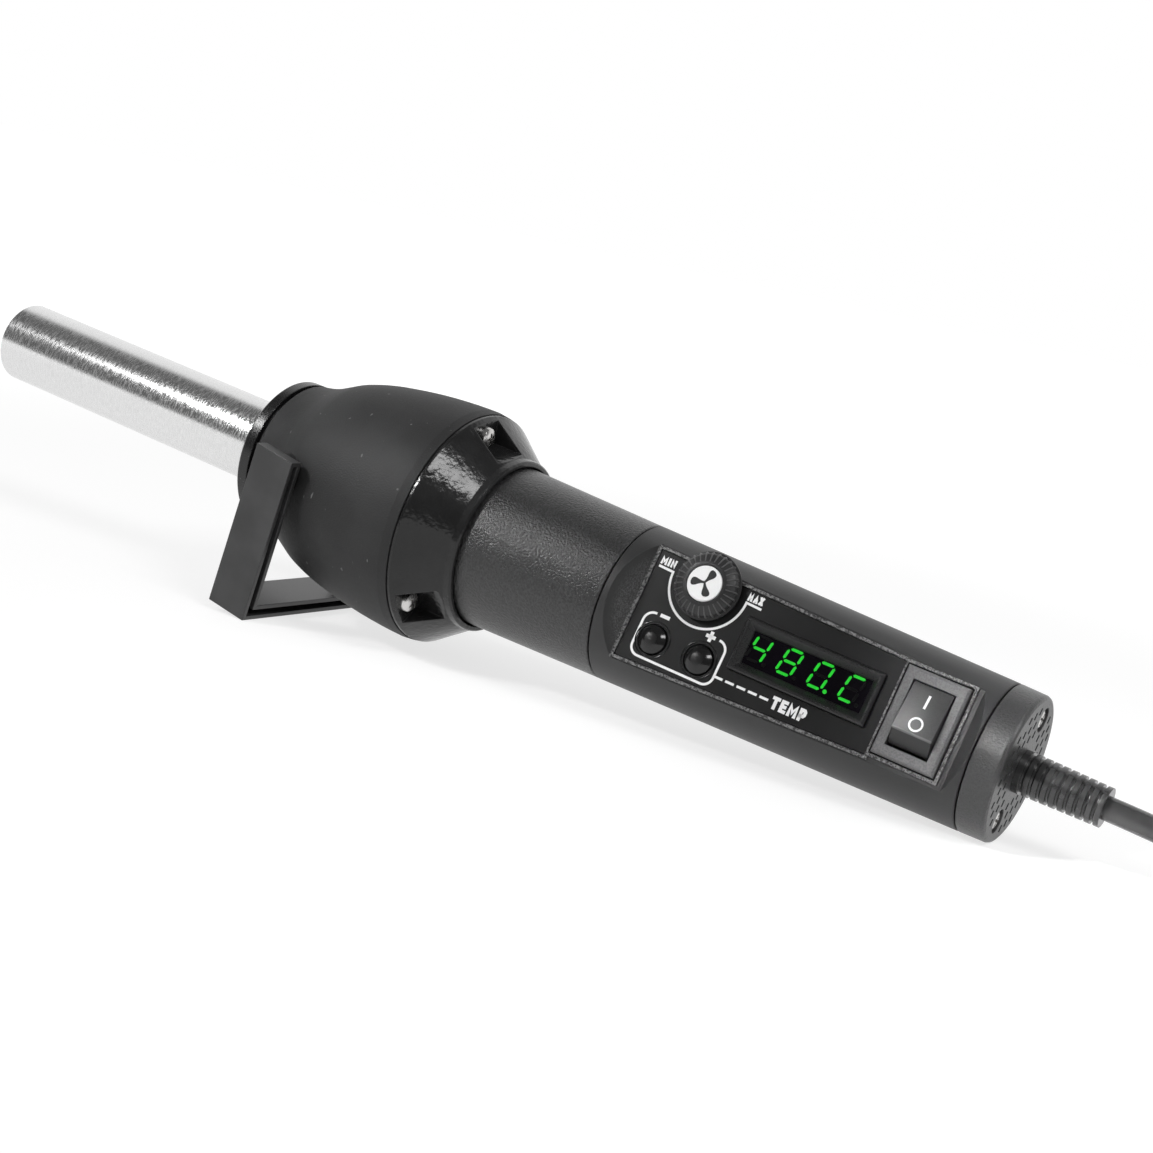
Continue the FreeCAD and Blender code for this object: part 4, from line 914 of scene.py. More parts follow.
def mesh_of(name: str, vertices: Sequence[Point3],
            faces: Sequence[Sequence[int]]) -> bpy.types.Mesh:
    """Make a mesh whose faces point outwards.

    Args:
        name: the mesh's name.
        vertices: its points.
        faces: its faces, as places in vertices.

    Returns:
        The mesh.
    """
    mesh = bpy.data.meshes.new(name)
    mesh.from_pydata([tuple(v) for v in vertices], [], faces)
    work = bmesh.new()
    work.from_mesh(mesh)
    bmesh.ops.remove_doubles(work, verts=work.verts, dist=MERGE)
    bmesh.ops.recalc_face_normals(work, faces=work.faces)
    work.to_mesh(mesh)
    work.free()
    return mesh


def joined(name: str, meshes: Sequence[bpy.types.Mesh]) -> bpy.types.Mesh:
    """Join meshes into one.

    Args:
        name: name of the whole.
        meshes: what is joined.

    Returns:
        The whole.
    """
    work = bmesh.new()
    for mesh in meshes:
        work.from_mesh(mesh)
    whole = bpy.data.meshes.new(name)
    work.to_mesh(whole)
    work.free()
    return whole


def moved(mesh: bpy.types.Mesh, matrix: Matrix) -> bpy.types.Mesh:
    """Move a mesh's points."""
    mesh.transform(matrix)
    return mesh


def smoothed(mesh: bpy.types.Mesh, degrees: float) -> bpy.types.Mesh:
    """Shade a mesh smooth across edges flatter than an angle.

    Args:
        mesh: the mesh.
        degrees: the angle.

    Returns:
        The same mesh.
    """
    mesh.shade_smooth()
    mesh.set_sharp_from_angle(angle=math.radians(degrees))
    return mesh


def prism(outline: Sequence[Point2], low: float, high: float) -> bpy.types.Mesh:
    """Raise a flat outline into a closed block.

    Args:
        outline: corners in the plane.
        low: height of its underside.
        high: height of its top.

    Returns:
        The block.
    """
    count = len(outline)
    vertices = [(x, y, z) for z in (low, high) for x, y in outline]
    sides = [(i, (i + 1) % count, (i + 1) % count + count, i + count) for i in range(count)]
    return mesh_of("prism", vertices, [tuple(range(count)), tuple(range(count, 2 * count)), *sides])


def ribbon(path: Sequence[Point2], width: float) -> bpy.types.Mesh:
    """Draw a raised line of even width along an open path in the plane.

    Args:
        path: the line's points.
        width: its width.

    Returns:
        The line, as thick as ink.
    """
    points = [Vector(point) for point in path]
    ways = [(b - a).normalized() for a, b in zip(points, points[1:])]
    left, right = [], []
    for point, before, after in zip(points, ways[:1] + ways, ways + ways[-1:]):
        way = (before + after).normalized()
        side = Vector((-way.y, way.x)) * width / 2 / max(MITRE, way.dot(after))
        left.append(point + side)
        right.append(point - side)
    rails = ((left, 0), (right, 0), (right, INK_T), (left, INK_T))
    vertices = [(*point, z) for rail, z in rails for point in rail]
    count = len(points)
    faces = [tuple(rail * count + end for rail in range(4)) for end in (0, count - 1)]
    for rail in range(4):
        a, b = rail * count, (rail + 1) % 4 * count
        faces += [(a + i, a + i + 1, b + i + 1, b + i) for i in range(count - 1)]
    return mesh_of("ribbon", vertices, faces)


def arc(centre: Point2, radius: float, start: float, end: float, steps: int) -> list[Point2]:
    """Return points along an arc.

    Args:
        centre: its middle.
        radius: its radius.
        start: angle of its first point, in degrees.
        end: angle of its last point, in degrees.
        steps: how many pieces it is cut into.

    Returns:
        The points.
    """
    angles = [math.radians(start + (end - start) * i / steps) for i in range(steps + 1)]
    return [(centre[0] + radius * math.cos(a), centre[1] + radius * math.sin(a)) for a in angles]


def lathe(profile: Sequence[Point2], steps: int) -> bpy.types.Mesh:
    """Turn a profile of (x, radius) round the x axis.

    Args:
        profile: an open profile that starts and ends on the axis, or a loop clear of it.
        steps: divisions of the turn.

    Returns:
        The closed shape.
    """
    on_axis = profile[0][1] == 0 and profile[-1][1] == 0
    vertices = []
    for step in range(steps):
        angle = 2 * math.pi * step / steps
        vertices += [(x, -r * math.sin(angle), r * math.cos(angle)) for x, r in profile]
    count = len(profile)
    last = count - 1 if on_axis else count
    faces = []
    for step in range(steps):
        a, b = step * count, (step + 1) % steps * count
        faces += [(a + i, a + (i + 1) % count, b + (i + 1) % count, b + i) for i in range(last)]
    return mesh_of("lathe", vertices, faces)


def tube(name: str, kind: str, line: Sequence[Sequence[float]], radius: float,
         rounding: int) -> bpy.types.Curve:
    """Make a curve with a round section.

    Args:
        name: its name.
        kind: the kind of its spline.
        line: its points.
        radius: radius of its section.
        rounding: how finely the section is divided.

    Returns:
        The curve.
    """
    curve = bpy.data.curves.new(name, "CURVE")
    curve.dimensions = "3D"
    spline = curve.splines.new(kind)
    spline.points.add(len(line) - 1)
    for point, place in zip(spline.points, line):
        point.co = (*place, 1)
    curve.bevel_depth = radius
    curve.bevel_resolution = rounding
    curve.use_fill_caps = True
    return curve


GLYPHS = {
    "M": (1.1, (((0, 0), (0, 1), (0.5, 0.3), (1, 1), (1, 0)),)),
    "I": (0.0, (((0, 0), (0, 1)),)),
    "N": (0.85, (((0, 0), (0, 1), (1, 0), (1, 1)),)),
    "A": (0.95, (((0, 0), (0.5, 1), (1, 0)), ((0.2, 0.28), (0.8, 0.28)))),
    "X": (0.9, (((0, 0), (1, 1)), ((0, 1), (1, 0)))),
    "T": (0.8, (((0, 1), (1, 1)), ((0.5, 1), (0.5, 0)))),
    "E": (0.65, (((1, 1), (0, 1), (0, 0), (1, 0)), ((0, 0.5), (0.85, 0.5)))),
    "P": (0.7, (((0, 0), (0, 1), (0.75, 1), (1, 0.85), (1, 0.55), (0.75, 0.4), (0, 0.4)),)),
}


def lettering(text: str, width: float, height: float, stroke: float) -> bpy.types.Mesh:
    """Draw block letters that fill a box in the plane.

    Args:
        text: the letters.
        width: width of the box.
        height: height of the box.
        stroke: width of their lines.

    Returns:
        The letters, with the box's lower left corner at the origin.
    """
    gap = 1.4 * stroke
    room = width - stroke - gap * (len(text) - 1)
    scale = room / sum(GLYPHS[letter][0] for letter in text)
    lines = []
    x = stroke / 2
    for letter in text:
        share, strokes = GLYPHS[letter]
        for index, line in enumerate(strokes):
            path = [(x + u * share * scale, stroke / 2 + v * (height - stroke)) for u, v in line]
            ends = [Vector(path[0]) - Vector(path[1]), Vector(path[-1]) - Vector(path[-2])]
            for place, way in zip((0, -1), ends):
                path[place] = tuple(Vector(path[place]) + way.normalized() * stroke / 2)
            sunk = Matrix.Scale(1 - 0.08 * index, 4, Vector((0, 0, 1)))
            lines.append(moved(ribbon(path, stroke), sunk))
        x += share * scale + gap
    return joined("letters", lines)


def finished(name: str, mesh: bpy.types.Mesh, material: bpy.types.Material | None,
             body: Body, smooth: float | None = None) -> bpy.types.Object:
    """Make a piece of a finished mesh.

    Args:
        name: the piece's name.
        mesh: its mesh, in place.
        material: its material, or None where the mesh has its own.
        body: the body that it rides on.
        smooth: angle in degrees below which edges are shaded smooth.

    Returns:
        The piece.
    """
    if material is not None:
        mesh.materials.clear()
        mesh.materials.append(material)
    mesh.name = name
    piece = new_object(name, mesh)
    if smooth is not None:
        smoothed(mesh, smooth)
    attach(piece, body.value)
    LOG.info("%s: %d faces", name, len(mesh.polygons))
    return piece


class RingPattern:
    """A Geometry Nodes tree that repeats a template round the x axis."""

    def __init__(self) -> None:
        """Build the tree with named inputs."""
        self.group = bpy.data.node_groups.new("ring_pattern", "GeometryNodeTree")
        faces = self.group.interface
        faces.new_socket("Geometry", in_out="OUTPUT", socket_type="NodeSocketGeometry")
        for name, kind in (("Template", "Object"), ("Count", "Int"), ("Radius", "Float"),
                           ("First Angle", "Float"), ("Finish", "Material")):
            faces.new_socket(name, in_out="INPUT", socket_type="NodeSocket" + kind)
        tree = Tree(self.group)
        given = self.group.nodes.new("NodeGroupInput")
        value = {socket.name: Value(tree, socket) for socket in given.outputs if socket.name}
        index = tree.add("GeometryNodeInputIndex")
        share = index * 2.0 * math.pi * value["Count"].math("POWER", -1.0)
        angle = share + value["First Angle"]
        inputs = {1: angle.math("SINE") * value["Radius"] * -1.0,
                  2: angle.math("COSINE") * value["Radius"]}
        place = tree.add("ShaderNodeCombineXYZ", None, inputs)
        inputs = {"Count": value["Count"], "Position": place}
        points = tree.add("GeometryNodePoints", None, inputs)
        inputs = {"Object": value["Template"]}
        template = tree.add("GeometryNodeObjectInfo", None, inputs, "Geometry")
        turn = tree.add("ShaderNodeCombineXYZ", None, {0: angle})
        inputs = {"Points": points, "Instance": template, "Rotation": turn}
        instances = tree.add("GeometryNodeInstanceOnPoints", None, inputs)
        real = tree.add("GeometryNodeRealizeInstances", None, {"Geometry": instances})
        inputs = {"Geometry": real, "Material": value["Finish"]}
        dressed = tree.add("GeometryNodeSetMaterial", None, inputs)
        end = self.group.nodes.new("NodeGroupOutput")
        self.group.links.new(dressed.socket, end.inputs[0])

    def mesh(self, template: bpy.types.Mesh, count: int, radius: float, first_angle: float,
             material: bpy.types.Material) -> bpy.types.Mesh:
        """Repeat a template and give back one plain mesh.

        Args:
            template: what is repeated, drawn at the ring's top before it is moved out.
            count: how many.
            radius: radius of the ring, in metres.
            first_angle: angle of the first, in degrees.
            material: the finish of them all.

        Returns:
            The mesh of all copies.
        """
        pattern = new_object("template", template)
        carrier = new_object("carrier", bpy.data.meshes.new("carrier"))
        modifier = carrier.modifiers.new("ring", "NODES")
        modifier.node_group = self.group
        given = {"Template": pattern, "Count": count, "Radius": radius,
                 "First Angle": math.radians(first_angle), "Finish": material}
        for item in self.group.interface.items_tree:
            if item.in_out == "INPUT":
                modifier[item.identifier] = given[item.name]
        mesh = evaluated(carrier)
        for helper in (carrier, pattern):
            bpy.data.objects.remove(helper)
        return mesh


# ---- screws -----------------------------------------------------------------------------
@dataclass(frozen=True)
class CrossScrews:
    """A ring of screws with cross recesses that stands for a construction node."""

    name: str
    node: str
    count: int
    ring_r: float
    first_angle: float
    seat: float
    head_r: float
    head_t: float
    recess_r: float
    recess_depth: float
    blade: float
    shank_r: float
    smooth: float = 28.0
    crown: tuple[Point2, ...] = ((0.42, 1.0), (0.72, 0.93), (0.9, 0.75), (1.0, 0.45), (1.0, 0.0))

    def screw(self, shank: float) -> bpy.types.Mesh:
        """Build one screw with its axis along x and its head's underside at x = 0.

        Args:
            shank: length of its shank.

        Returns:
            The screw.
        """
        r, t = self.head_r, self.head_t
        profile = [(-shank, 0), (-shank, self.shank_r * 0.7), (-shank + self.shank_r, self.shank_r),
                   (0, self.shank_r), (0, r), *((up * t, out * r) for up, out in self.crown)]
        head = new_object("head", lathe(profile, 40))
        upright = placed(Vector(), ((0, 1, 0), (0, 0, 1), (1, 0, 0)))
        for x, y in ((self.recess_r, self.blade / 2), (self.blade / 2, self.recess_r)):
            arm = prism([(-x, -y), (x, -y), (x, y), (-x, y)], t - self.recess_depth, t + r)
            cutter = new_object("cutter", moved(arm, upright))
            head.modifiers.new("cut", "BOOLEAN").object = cutter
            mesh = evaluated(head)
            head.modifiers.clear()
            head.data = mesh
            bpy.data.objects.remove(cutter)
        bpy.data.objects.remove(head)
        return smoothed(mesh, self.smooth)

    def build(self, rings: RingPattern, wardrobe: Wardrobe) -> None:
        """Build the ring of screws.

        Args:
            rings: the pattern that repeats a shape round an axis.
            wardrobe: the materials.
        """
        low, high = TOOL.span(self.node)
        screw = self.screw(high.x - low.x - self.seat)
        steel = wardrobe.get("screw_steel")
        mesh = rings.mesh(screw, self.count, self.ring_r, self.first_angle, steel)
        moved(mesh, TOOL.axial_matrix(high.x - self.seat))
        screws = finished(self.name, mesh, None, Body.TOOL)
        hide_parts(self.node)


FASTENERS = (
    CrossScrews("flange_screws", "bell_screws", 3, 25.8 * MM, 60.0, 2.1 * MM, 2.7 * MM, 2.1 * MM,
                1.5 * MM, 1.2 * MM, 0.62 * MM, 1.45 * MM),
    CrossScrews("cap_screws", "end_cap_screws", 2, 12.2 * MM, 90.0, 1.2 * MM, 2.5 * MM, 1.7 * MM,
                1.4 * MM, 0.9 * MM, 0.6 * MM, 1.35 * MM))


# ---- heater -----------------------------------------------------------------------------
@dataclass
class Heater:
    """The six wound wires in the bores of the ceramic core."""

    coils: int = 6
    pitch_r: float = 5.7 * MM
    winding_r: float = 1.55 * MM
    wire_r: float = 0.28 * MM
    lead: float = 1.5 * MM
    steps: int = 14

    def wire(self, length: float) -> list[Point3]:
        """Wind one wire.

        Args:
            length: how long it is, in metres.

        Returns:
            Its points.
        """
        count = int(length / self.lead * self.steps)
        points = []
        for i in range(count):
            angle = 2 * math.pi * i / self.steps
            x = self.wire_r + (length - 2 * self.wire_r) * i / (count - 1)
            points.append((x, self.winding_r * math.sin(angle), self.winding_r * math.cos(angle)))
        return points

    def build(self, rings: RingPattern, wardrobe: Wardrobe) -> None:
        """Wind one wire as a helix and repeat it round the core.

        Args:
            rings: the pattern that repeats a shape round an axis.
            wardrobe: the materials.
        """
        low, high = TOOL.span("heater_coils")
        curve = tube("wire", "POLY", self.wire(high.x - low.x), self.wire_r, 0)
        holder = new_object("wire", curve)
        wire = evaluated(holder)
        bpy.data.objects.remove(holder)
        mesh = rings.mesh(wire, self.coils, self.pitch_r, 0.0, wardrobe.get("heating_wire"))
        moved(mesh, TOOL.axial_matrix(low.x, True))
        coils = finished("heater_windings", mesh, None, Body.TOOL, 60)
        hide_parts("heater_coils")


# ---- control panel ----------------------------------------------------------------------
@dataclass
class PanelPrint:
    """The white print on the fascia: legends, the knob's scale and the frame round the buttons."""

    line: float = 0.58 * MM
    scale_r: float = 9.9 * MM
    scale_lift: float = 0.2 * MM
    legend: Point2 = (4.0 * MM, 1.95 * MM)
    legend_gap: float = 0.3 * MM
    frame_corner: float = 2.4 * MM
    frame_top: float = 6.0 * MM
    frame_bottom: float = 4.8 * MM
    frame_left: float = 4.4 * MM
    frame_right: float = 5.1 * MM
    frame_gap: float = 0.3 * MM
    sign: float = 2.5 * MM
    sign_w: float = 0.85 * MM
    minus_shift: float = 0.45 * MM
    plus_shift: float = 0.35 * MM
    temp: Point2 = (8.8 * MM, 3.0 * MM)
    temp_at: Point2 = (253.7 * MM, -10.4 * MM)
    dash: Point2 = (2.25 * MM, 0.75 * MM)
    dash_over: float = 0.1 * MM
    weight: Point2 = (0.56 * MM, 0.8 * MM)

    def build(self, wardrobe: Wardrobe) -> None:
        """Draw the print on the fascia's surface.

        Args:
            wardrobe: the materials.
        """
        minus, plus = TOOL.middle("minus_button"), TOOL.middle("plus_button")
        parts = self.scale(TOOL.knob) + self.button_frame(minus, plus) + self.leader(plus)
        letters = lettering("TEMP", *self.temp, self.weight[1])
        moved(letters, Matrix.Translation((*self.temp_at, 0)))
        mesh = joined("panel_print", parts + [letters])
        moved(mesh, TOOL.panel_matrix(0, 0, TOOL.span("control_fascia")[1].z))
        finished("panel_print", mesh, wardrobe.get("white_print"), Body.TOOL)

    def scale(self, knob: Vector) -> list[bpy.types.Mesh]:
        """Draw the arc round the knob with MIN and MAX at its ends.

        Args:
            knob: the knob's middle along the tool's axes.

        Returns:
            The meshes of the scale.
        """
        width, height = self.legend
        up = self.scale_lift
        left, right = knob.x - self.scale_r, knob.x + self.scale_r
        path = [(left - width, knob.y + up)]
        path += arc((knob.x, knob.y), self.scale_r, 180, 360, 48)
        path += [(right + width, knob.y - up)]
        lift = self.line / 2 + self.legend_gap
        places = {"MIN": (left - width, knob.y + lift + up), "MAX": (right - up, knob.y + lift)}
        legends = [moved(lettering(text, width, height, self.weight[0]),
                         Matrix.Translation((*place, 0))) for text, place in places.items()]
        return [ribbon(path, self.line), *legends]

    def button_frame(self, minus: Vector, plus: Vector) -> list[bpy.types.Mesh]:
        """Draw the rounded frame under the buttons and their signs.

        Args:
            minus: middle of the minus button.
            plus: middle of the plus button.

        Returns:
            The meshes of the frame and the signs.
        """
        c = self.frame_corner
        left, right = minus.x - self.frame_left, plus.x + self.frame_right
        top, bottom = minus.y + self.frame_top, minus.y - self.frame_bottom
        path = [(left + c + self.frame_gap, top)]
        path += arc((left + c, top - c), c, 90, 180, 8)
        path += arc((left + c, bottom + c), c, 180, 270, 8)
        path += arc((right - c, bottom + c), c, 270, 360, 8)
        path += arc((right - c, top - c), c, 0, 90, 8)
        half = self.sign / 2
        at_minus, at_plus = minus.x + self.minus_shift, plus.x + self.plus_shift
        marks = [(at_minus, half, 0), (at_plus, half, 0), (at_plus, 0, half)]
        signs = [ribbon([(x - dx, top - dy), (x + dx, top + dy)], self.sign_w)
                 for x, dx, dy in marks]
        return [ribbon(path, self.line), *signs]

    def leader(self, plus: Vector) -> list[bpy.types.Mesh]:
        """Draw the dashes that lead from the frame to TEMP.

        Args:
            plus: middle of the plus button.

        Returns:
            The dashes.
        """
        start = plus.x + self.frame_right
        y = self.temp_at[1] + self.temp[1] / 2
        room = self.temp_at[0] + self.dash_over - start
        dashes = []
        along = 0.0
        while along + self.dash[0] < room + self.dash_over:
            ends = [(start + along, y), (start + along + self.dash[0], y)]
            dashes.append(ribbon(ends, self.line))
            along += sum(self.dash)
        return dashes


class Segments(Enum):
    """Which of a digit's seven bars are lit, from the top bar clockwise and the middle last."""

    FOUR = (0, 1, 1, 0, 0, 1, 1)
    EIGHT = (1, 1, 1, 1, 1, 1, 1)
    ZERO = (1, 1, 1, 1, 1, 1, 0)
    C = (1, 0, 0, 1, 1, 1, 0)


@dataclass
class Display:
    """The four slanted digits behind the window."""

    digit: Point2 = (3.65 * MM, 5.9 * MM)
    pitch: float = 7.9 * MM
    first_x: float = -12.4 * MM
    raised: float = 0.45 * MM
    slant: float = 0.19
    bar: float = 0.66 * MM
    gap: float = 0.28 * MM
    dot_r: float = 0.5 * MM
    dot_gap: float = 1.15 * MM
    shows: tuple[Segments, ...] = (Segments.FOUR, Segments.EIGHT, Segments.ZERO, Segments.C)
    point_after: int = 2
    glow: Lit = Lit((0.005, 0.66, 0.02), 1.0)
    dark: Moulded = Moulded((0.0026, 0.0028, 0.003), 0.5, specular=0.1)

    def bars(self) -> list[list[Point2]]:
        """Draw a digit's seven bars about its middle.

        Returns:
            Their corners, bar by bar.
        """
        w, h = self.digit[0] / 2, self.digit[1] / 2
        corners = {"tl": (-w, h), "tr": (w, h), "ml": (-w, 0), "mr": (w, 0), "bl": (-w, -h),
                   "br": (w, -h)}
        ends = ["tl tr", "tr mr", "mr br", "br bl", "bl ml", "ml tl", "ml mr"]
        return [self.bar_outline(*(Vector(corners[key]) for key in pair.split())) for pair in ends]

    def bar_outline(self, start: Vector, end: Vector) -> list[Point2]:
        """Return the pointed outline of one slanted bar.

        Args:
            start: the corner of the digit that it starts at.
            end: the corner that it ends at.

        Returns:
            Its corners.
        """
        way = (end - start).normalized()
        inner = self.bar / 2
        side = Vector((-way.y, way.x)) * self.bar / 2
        a, b = start + way * self.gap, end - way * self.gap
        corners = [a, a + way * inner + side, b - way * inner + side, b, b - way * inner - side,
                   a + way * inner - side]
        return [(p.x + p.y * self.slant, p.y) for p in corners]

    def build(self) -> None:
        """Build the lit and the unlit bars on the window."""
        low, high = TOOL.span("display_window")
        middle = (low + high) / 2
        sorted_bars: tuple[list, list] = ([], [])
        for index, shown in enumerate(self.shows):
            x = self.first_x + index * self.pitch
            for outline, on in zip(self.bars(), shown.value):
                sorted_bars[on].append(prism([(x + px, py) for px, py in outline], 0, INK_T))
            foot = -self.digit[1] / 2
            dot_x = x + self.digit[0] / 2 + self.dot_gap + foot * self.slant
            dot = prism(arc((dot_x, foot), self.dot_r, 0, 345, 23), 0, INK_T)
            sorted_bars[index == self.point_after].append(dot)
        matrix = TOOL.panel_matrix(middle.x, middle.y + self.raised, high.z)
        unlit, lit = (moved(joined("bars", bars), matrix) for bars in sorted_bars)
        glow, dark = self.glow.material("digit_light"), self.dark.material("digit_dark")
        finished("digits_lit", lit, glow, Body.TOOL)
        finished("digits_unlit", unlit, dark, Body.TOOL)


@dataclass
class Knob:
    """The temperature knob: a round body with ribs on its side and shoulder, and a printed cap."""

    ribs: int = 30
    segments: int = 96
    side_r: float = 7.6 * MM
    shoulder_r: float = 5.3 * MM
    shoulder_drop: float = 0.95 * MM
    rib_t: float = 0.42 * MM
    rib_w: float = 0.5 * MM
    rib_end: Point2 = (0.12 * MM, 0.05 * MM)
    # painted highlight: the ribs are a lighter copy of the knob's black, standing in for light on
    # them
    painted_rib_highlight: Moulded = Moulded((0.11, 0.11, 0.111), 0.4, 0.3, 0.012, 0.1, 0.2)
    blade_angles: Point3 = (63.0, 190.0, 297.0)
    blade_reach: float = 3.45 * MM
    blade_bend: float = 0.25 * MM
    blade_widths: tuple[Point2, ...] = (
        (0.05, 0.26), (0.25, 0.34), (0.42, 0.56), (0.6, 0.84), (0.76, 0.97), (0.88, 0.9),
        (0.96, 0.6))
    hub_r: float = 0.3 * MM
    hub_up: float = 0.25 * MM
    ink: Print = Print((0.012, 0.012, 0.012))

    def outline(self, height: float, flange_r: float, cap_r: float) -> list[Point2]:
        """Draw the knob's outline from its base to the floor of its cap's seat.

        Args:
            height: the knob's height.
            flange_r: radius of its flange.
            cap_r: radius of its cap.

        Returns:
            Places along the knob's axis and their radii.
        """
        edge = height - self.shoulder_drop
        side, shoulder = self.side_r, self.shoulder_r
        table = [(0, 0, 0, 0), (0, 0, flange_r, -0.3), (0, 0.25, flange_r, 0),
                 (0, 0.7, flange_r, 0), (0, 0.85, side, 0), (edge, -0.5, side, -0.1),
                 (edge, -0.12, side, -0.3), (edge, 0.1, side, -0.65),
                 (height, -0.2, shoulder, 0.3), (height, -0.05, shoulder, -0.1),
                 (height, 0, shoulder, -0.5), (height, 0, cap_r, 0.3),
                 (height, -0.12, cap_r, 0.14), (height, -0.7, cap_r, 0.12), (height, -0.75, 0, 0)]
        return [(x + dx * MM, r + dr * MM) for x, dx, r, dr in table]

    def build(self, rings: RingPattern, wardrobe: Wardrobe) -> None:
        """Build the knob round its axis and print the fan sign on its cap.

        Args:
            rings: the pattern that repeats a shape round an axis.
            wardrobe: the materials.
        """
        low, high = TOOL.span("knob")
        height = high.z - low.z
        cap_low, cap_high = TOOL.span("knob_cap")
        profile = self.outline(height, (high.x - low.x) / 2, (cap_high.x - cap_low.x) / 2)
        stand = TOOL.turned_matrix(TOOL.knob.x, TOOL.knob.y, low.z)
        body = moved(lathe(profile, self.segments), stand)
        grip = finished("knob_grip", body, wardrobe.get("knob_black"), Body.KNOB, 35)
        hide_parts("knob")
        top = (height - self.rib_end[0], self.shoulder_r + self.rib_end[1])
        # painted highlight: the ribs get the lighter copy of the knob's black
        light = self.painted_rib_highlight.material("knob_rib")
        mesh = rings.mesh(self.rib([*profile[4:8], top]), self.ribs, 0.0, 0.0, light)
        finished("knob_ribs", moved(mesh, stand), None, Body.KNOB, 40)
        self.fan_sign(cap_high.z)

    def rib(self, path: Sequence[Point2]) -> bpy.types.Mesh:
        """Make one rounded rib that follows the knob's outline.

        Args:
            path: places along the knob's axis and their radii, from the base up.

        Returns:
            The rib, at the top of the ring.
        """
        points = [Vector(point) for point in path]
        section = ((-1.0, -0.5), (-0.75, 0.6), (0.0, 1.0), (0.75, 0.6), (1.0, -0.5))
        count, last = len(section), len(points) - 1
        vertices = []
        for i, point in enumerate(points):
            way = (points[min(i + 1, last)] - points[max(i - 1, 0)]).normalized()
            out = Vector((-way.y, way.x))
            share = 1.0 - 0.35 * i / last
            fade = 0.4 if i in (0, last) else 1.0
            for side, lift in section:
                at = point + out * self.rib_t * lift * fade
                vertices.append((at.x, side * self.rib_w / 2 * share, at.y))
        faces = [tuple(range(count)), tuple(last * count + k for k in range(count))]
        for a in range(0, last * count, count):
            b = a + count
            faces += [(a + k, a + (k + 1) % count, b + (k + 1) % count, b + k)
                      for k in range(count)]
        return mesh_of("rib", vertices, faces)

    def fan_sign(self, height: float) -> None:
        """Print three fan blades on the cap.

        Args:
            height: height of the cap over the mouth's axis, in metres.
        """
        blades = [self.blade(math.radians(angle)) for angle in self.blade_angles]
        hub = prism(arc((0, 0), self.hub_r, 0, 340, 17), 0, INK_T)
        matrix = TOOL.panel_matrix(TOOL.knob.x, TOOL.knob.y + self.hub_up, height)
        mesh = moved(joined("fan_sign", blades + [hub]), matrix)
        ink = self.ink.material("black_ink")
        finished("knob_fan_sign", mesh, ink, Body.KNOB)

    def blade(self, turn: float) -> bpy.types.Mesh:
        """Draw one fan blade, a drop that widens to its tip and leans to one side.

        Args:
            turn: the way that it points, in radians.

        Returns:
            The blade.
        """
        reach, bend = self.blade_reach, self.blade_bend
        lean = [(t, half * MM, bend * t * t) for t, half in self.blade_widths]
        left = [(reach * t, mid + half) for t, half, mid in lean]
        right = [(reach * t, mid - half) for t, half, mid in reversed(lean)]
        turned = Matrix.Rotation(turn, 2)
        outline = [tuple(turned @ Vector(point)) for point in [*left, (reach, bend), *right]]
        return prism(outline, 0, INK_T)


@dataclass
class Surrounds:
    """Raised rings round the buttons."""

    ring_r: float = 4.35 * MM
    half_w: float = 0.15 * MM
    ring_t: float = 0.14 * MM
    section: tuple[Point2, ...] = ((0.0, -1.0), (0.6, -1.0), (1.0, -0.3), (1.0, 0.3), (0.6, 1.0),
                                   (0.0, 1.0))

    def build(self, wardrobe: Wardrobe) -> None:
        """Build the rings.

        Args:
            wardrobe: the materials.
        """
        top = TOOL.span("control_fascia")[1].z
        profile = [(up * self.ring_t, self.ring_r + out * self.half_w) for up, out in self.section]
        rings = []
        for node in ("minus_button", "plus_button"):
            middle = TOOL.middle(node)
            rings.append(moved(lathe(profile, 64), TOOL.turned_matrix(middle.x, middle.y, top)))
        mesh = joined("button_rings", rings)
        black = wardrobe.get("button_black")
        finished("button_rings", mesh, black, Body.TOOL, 50)


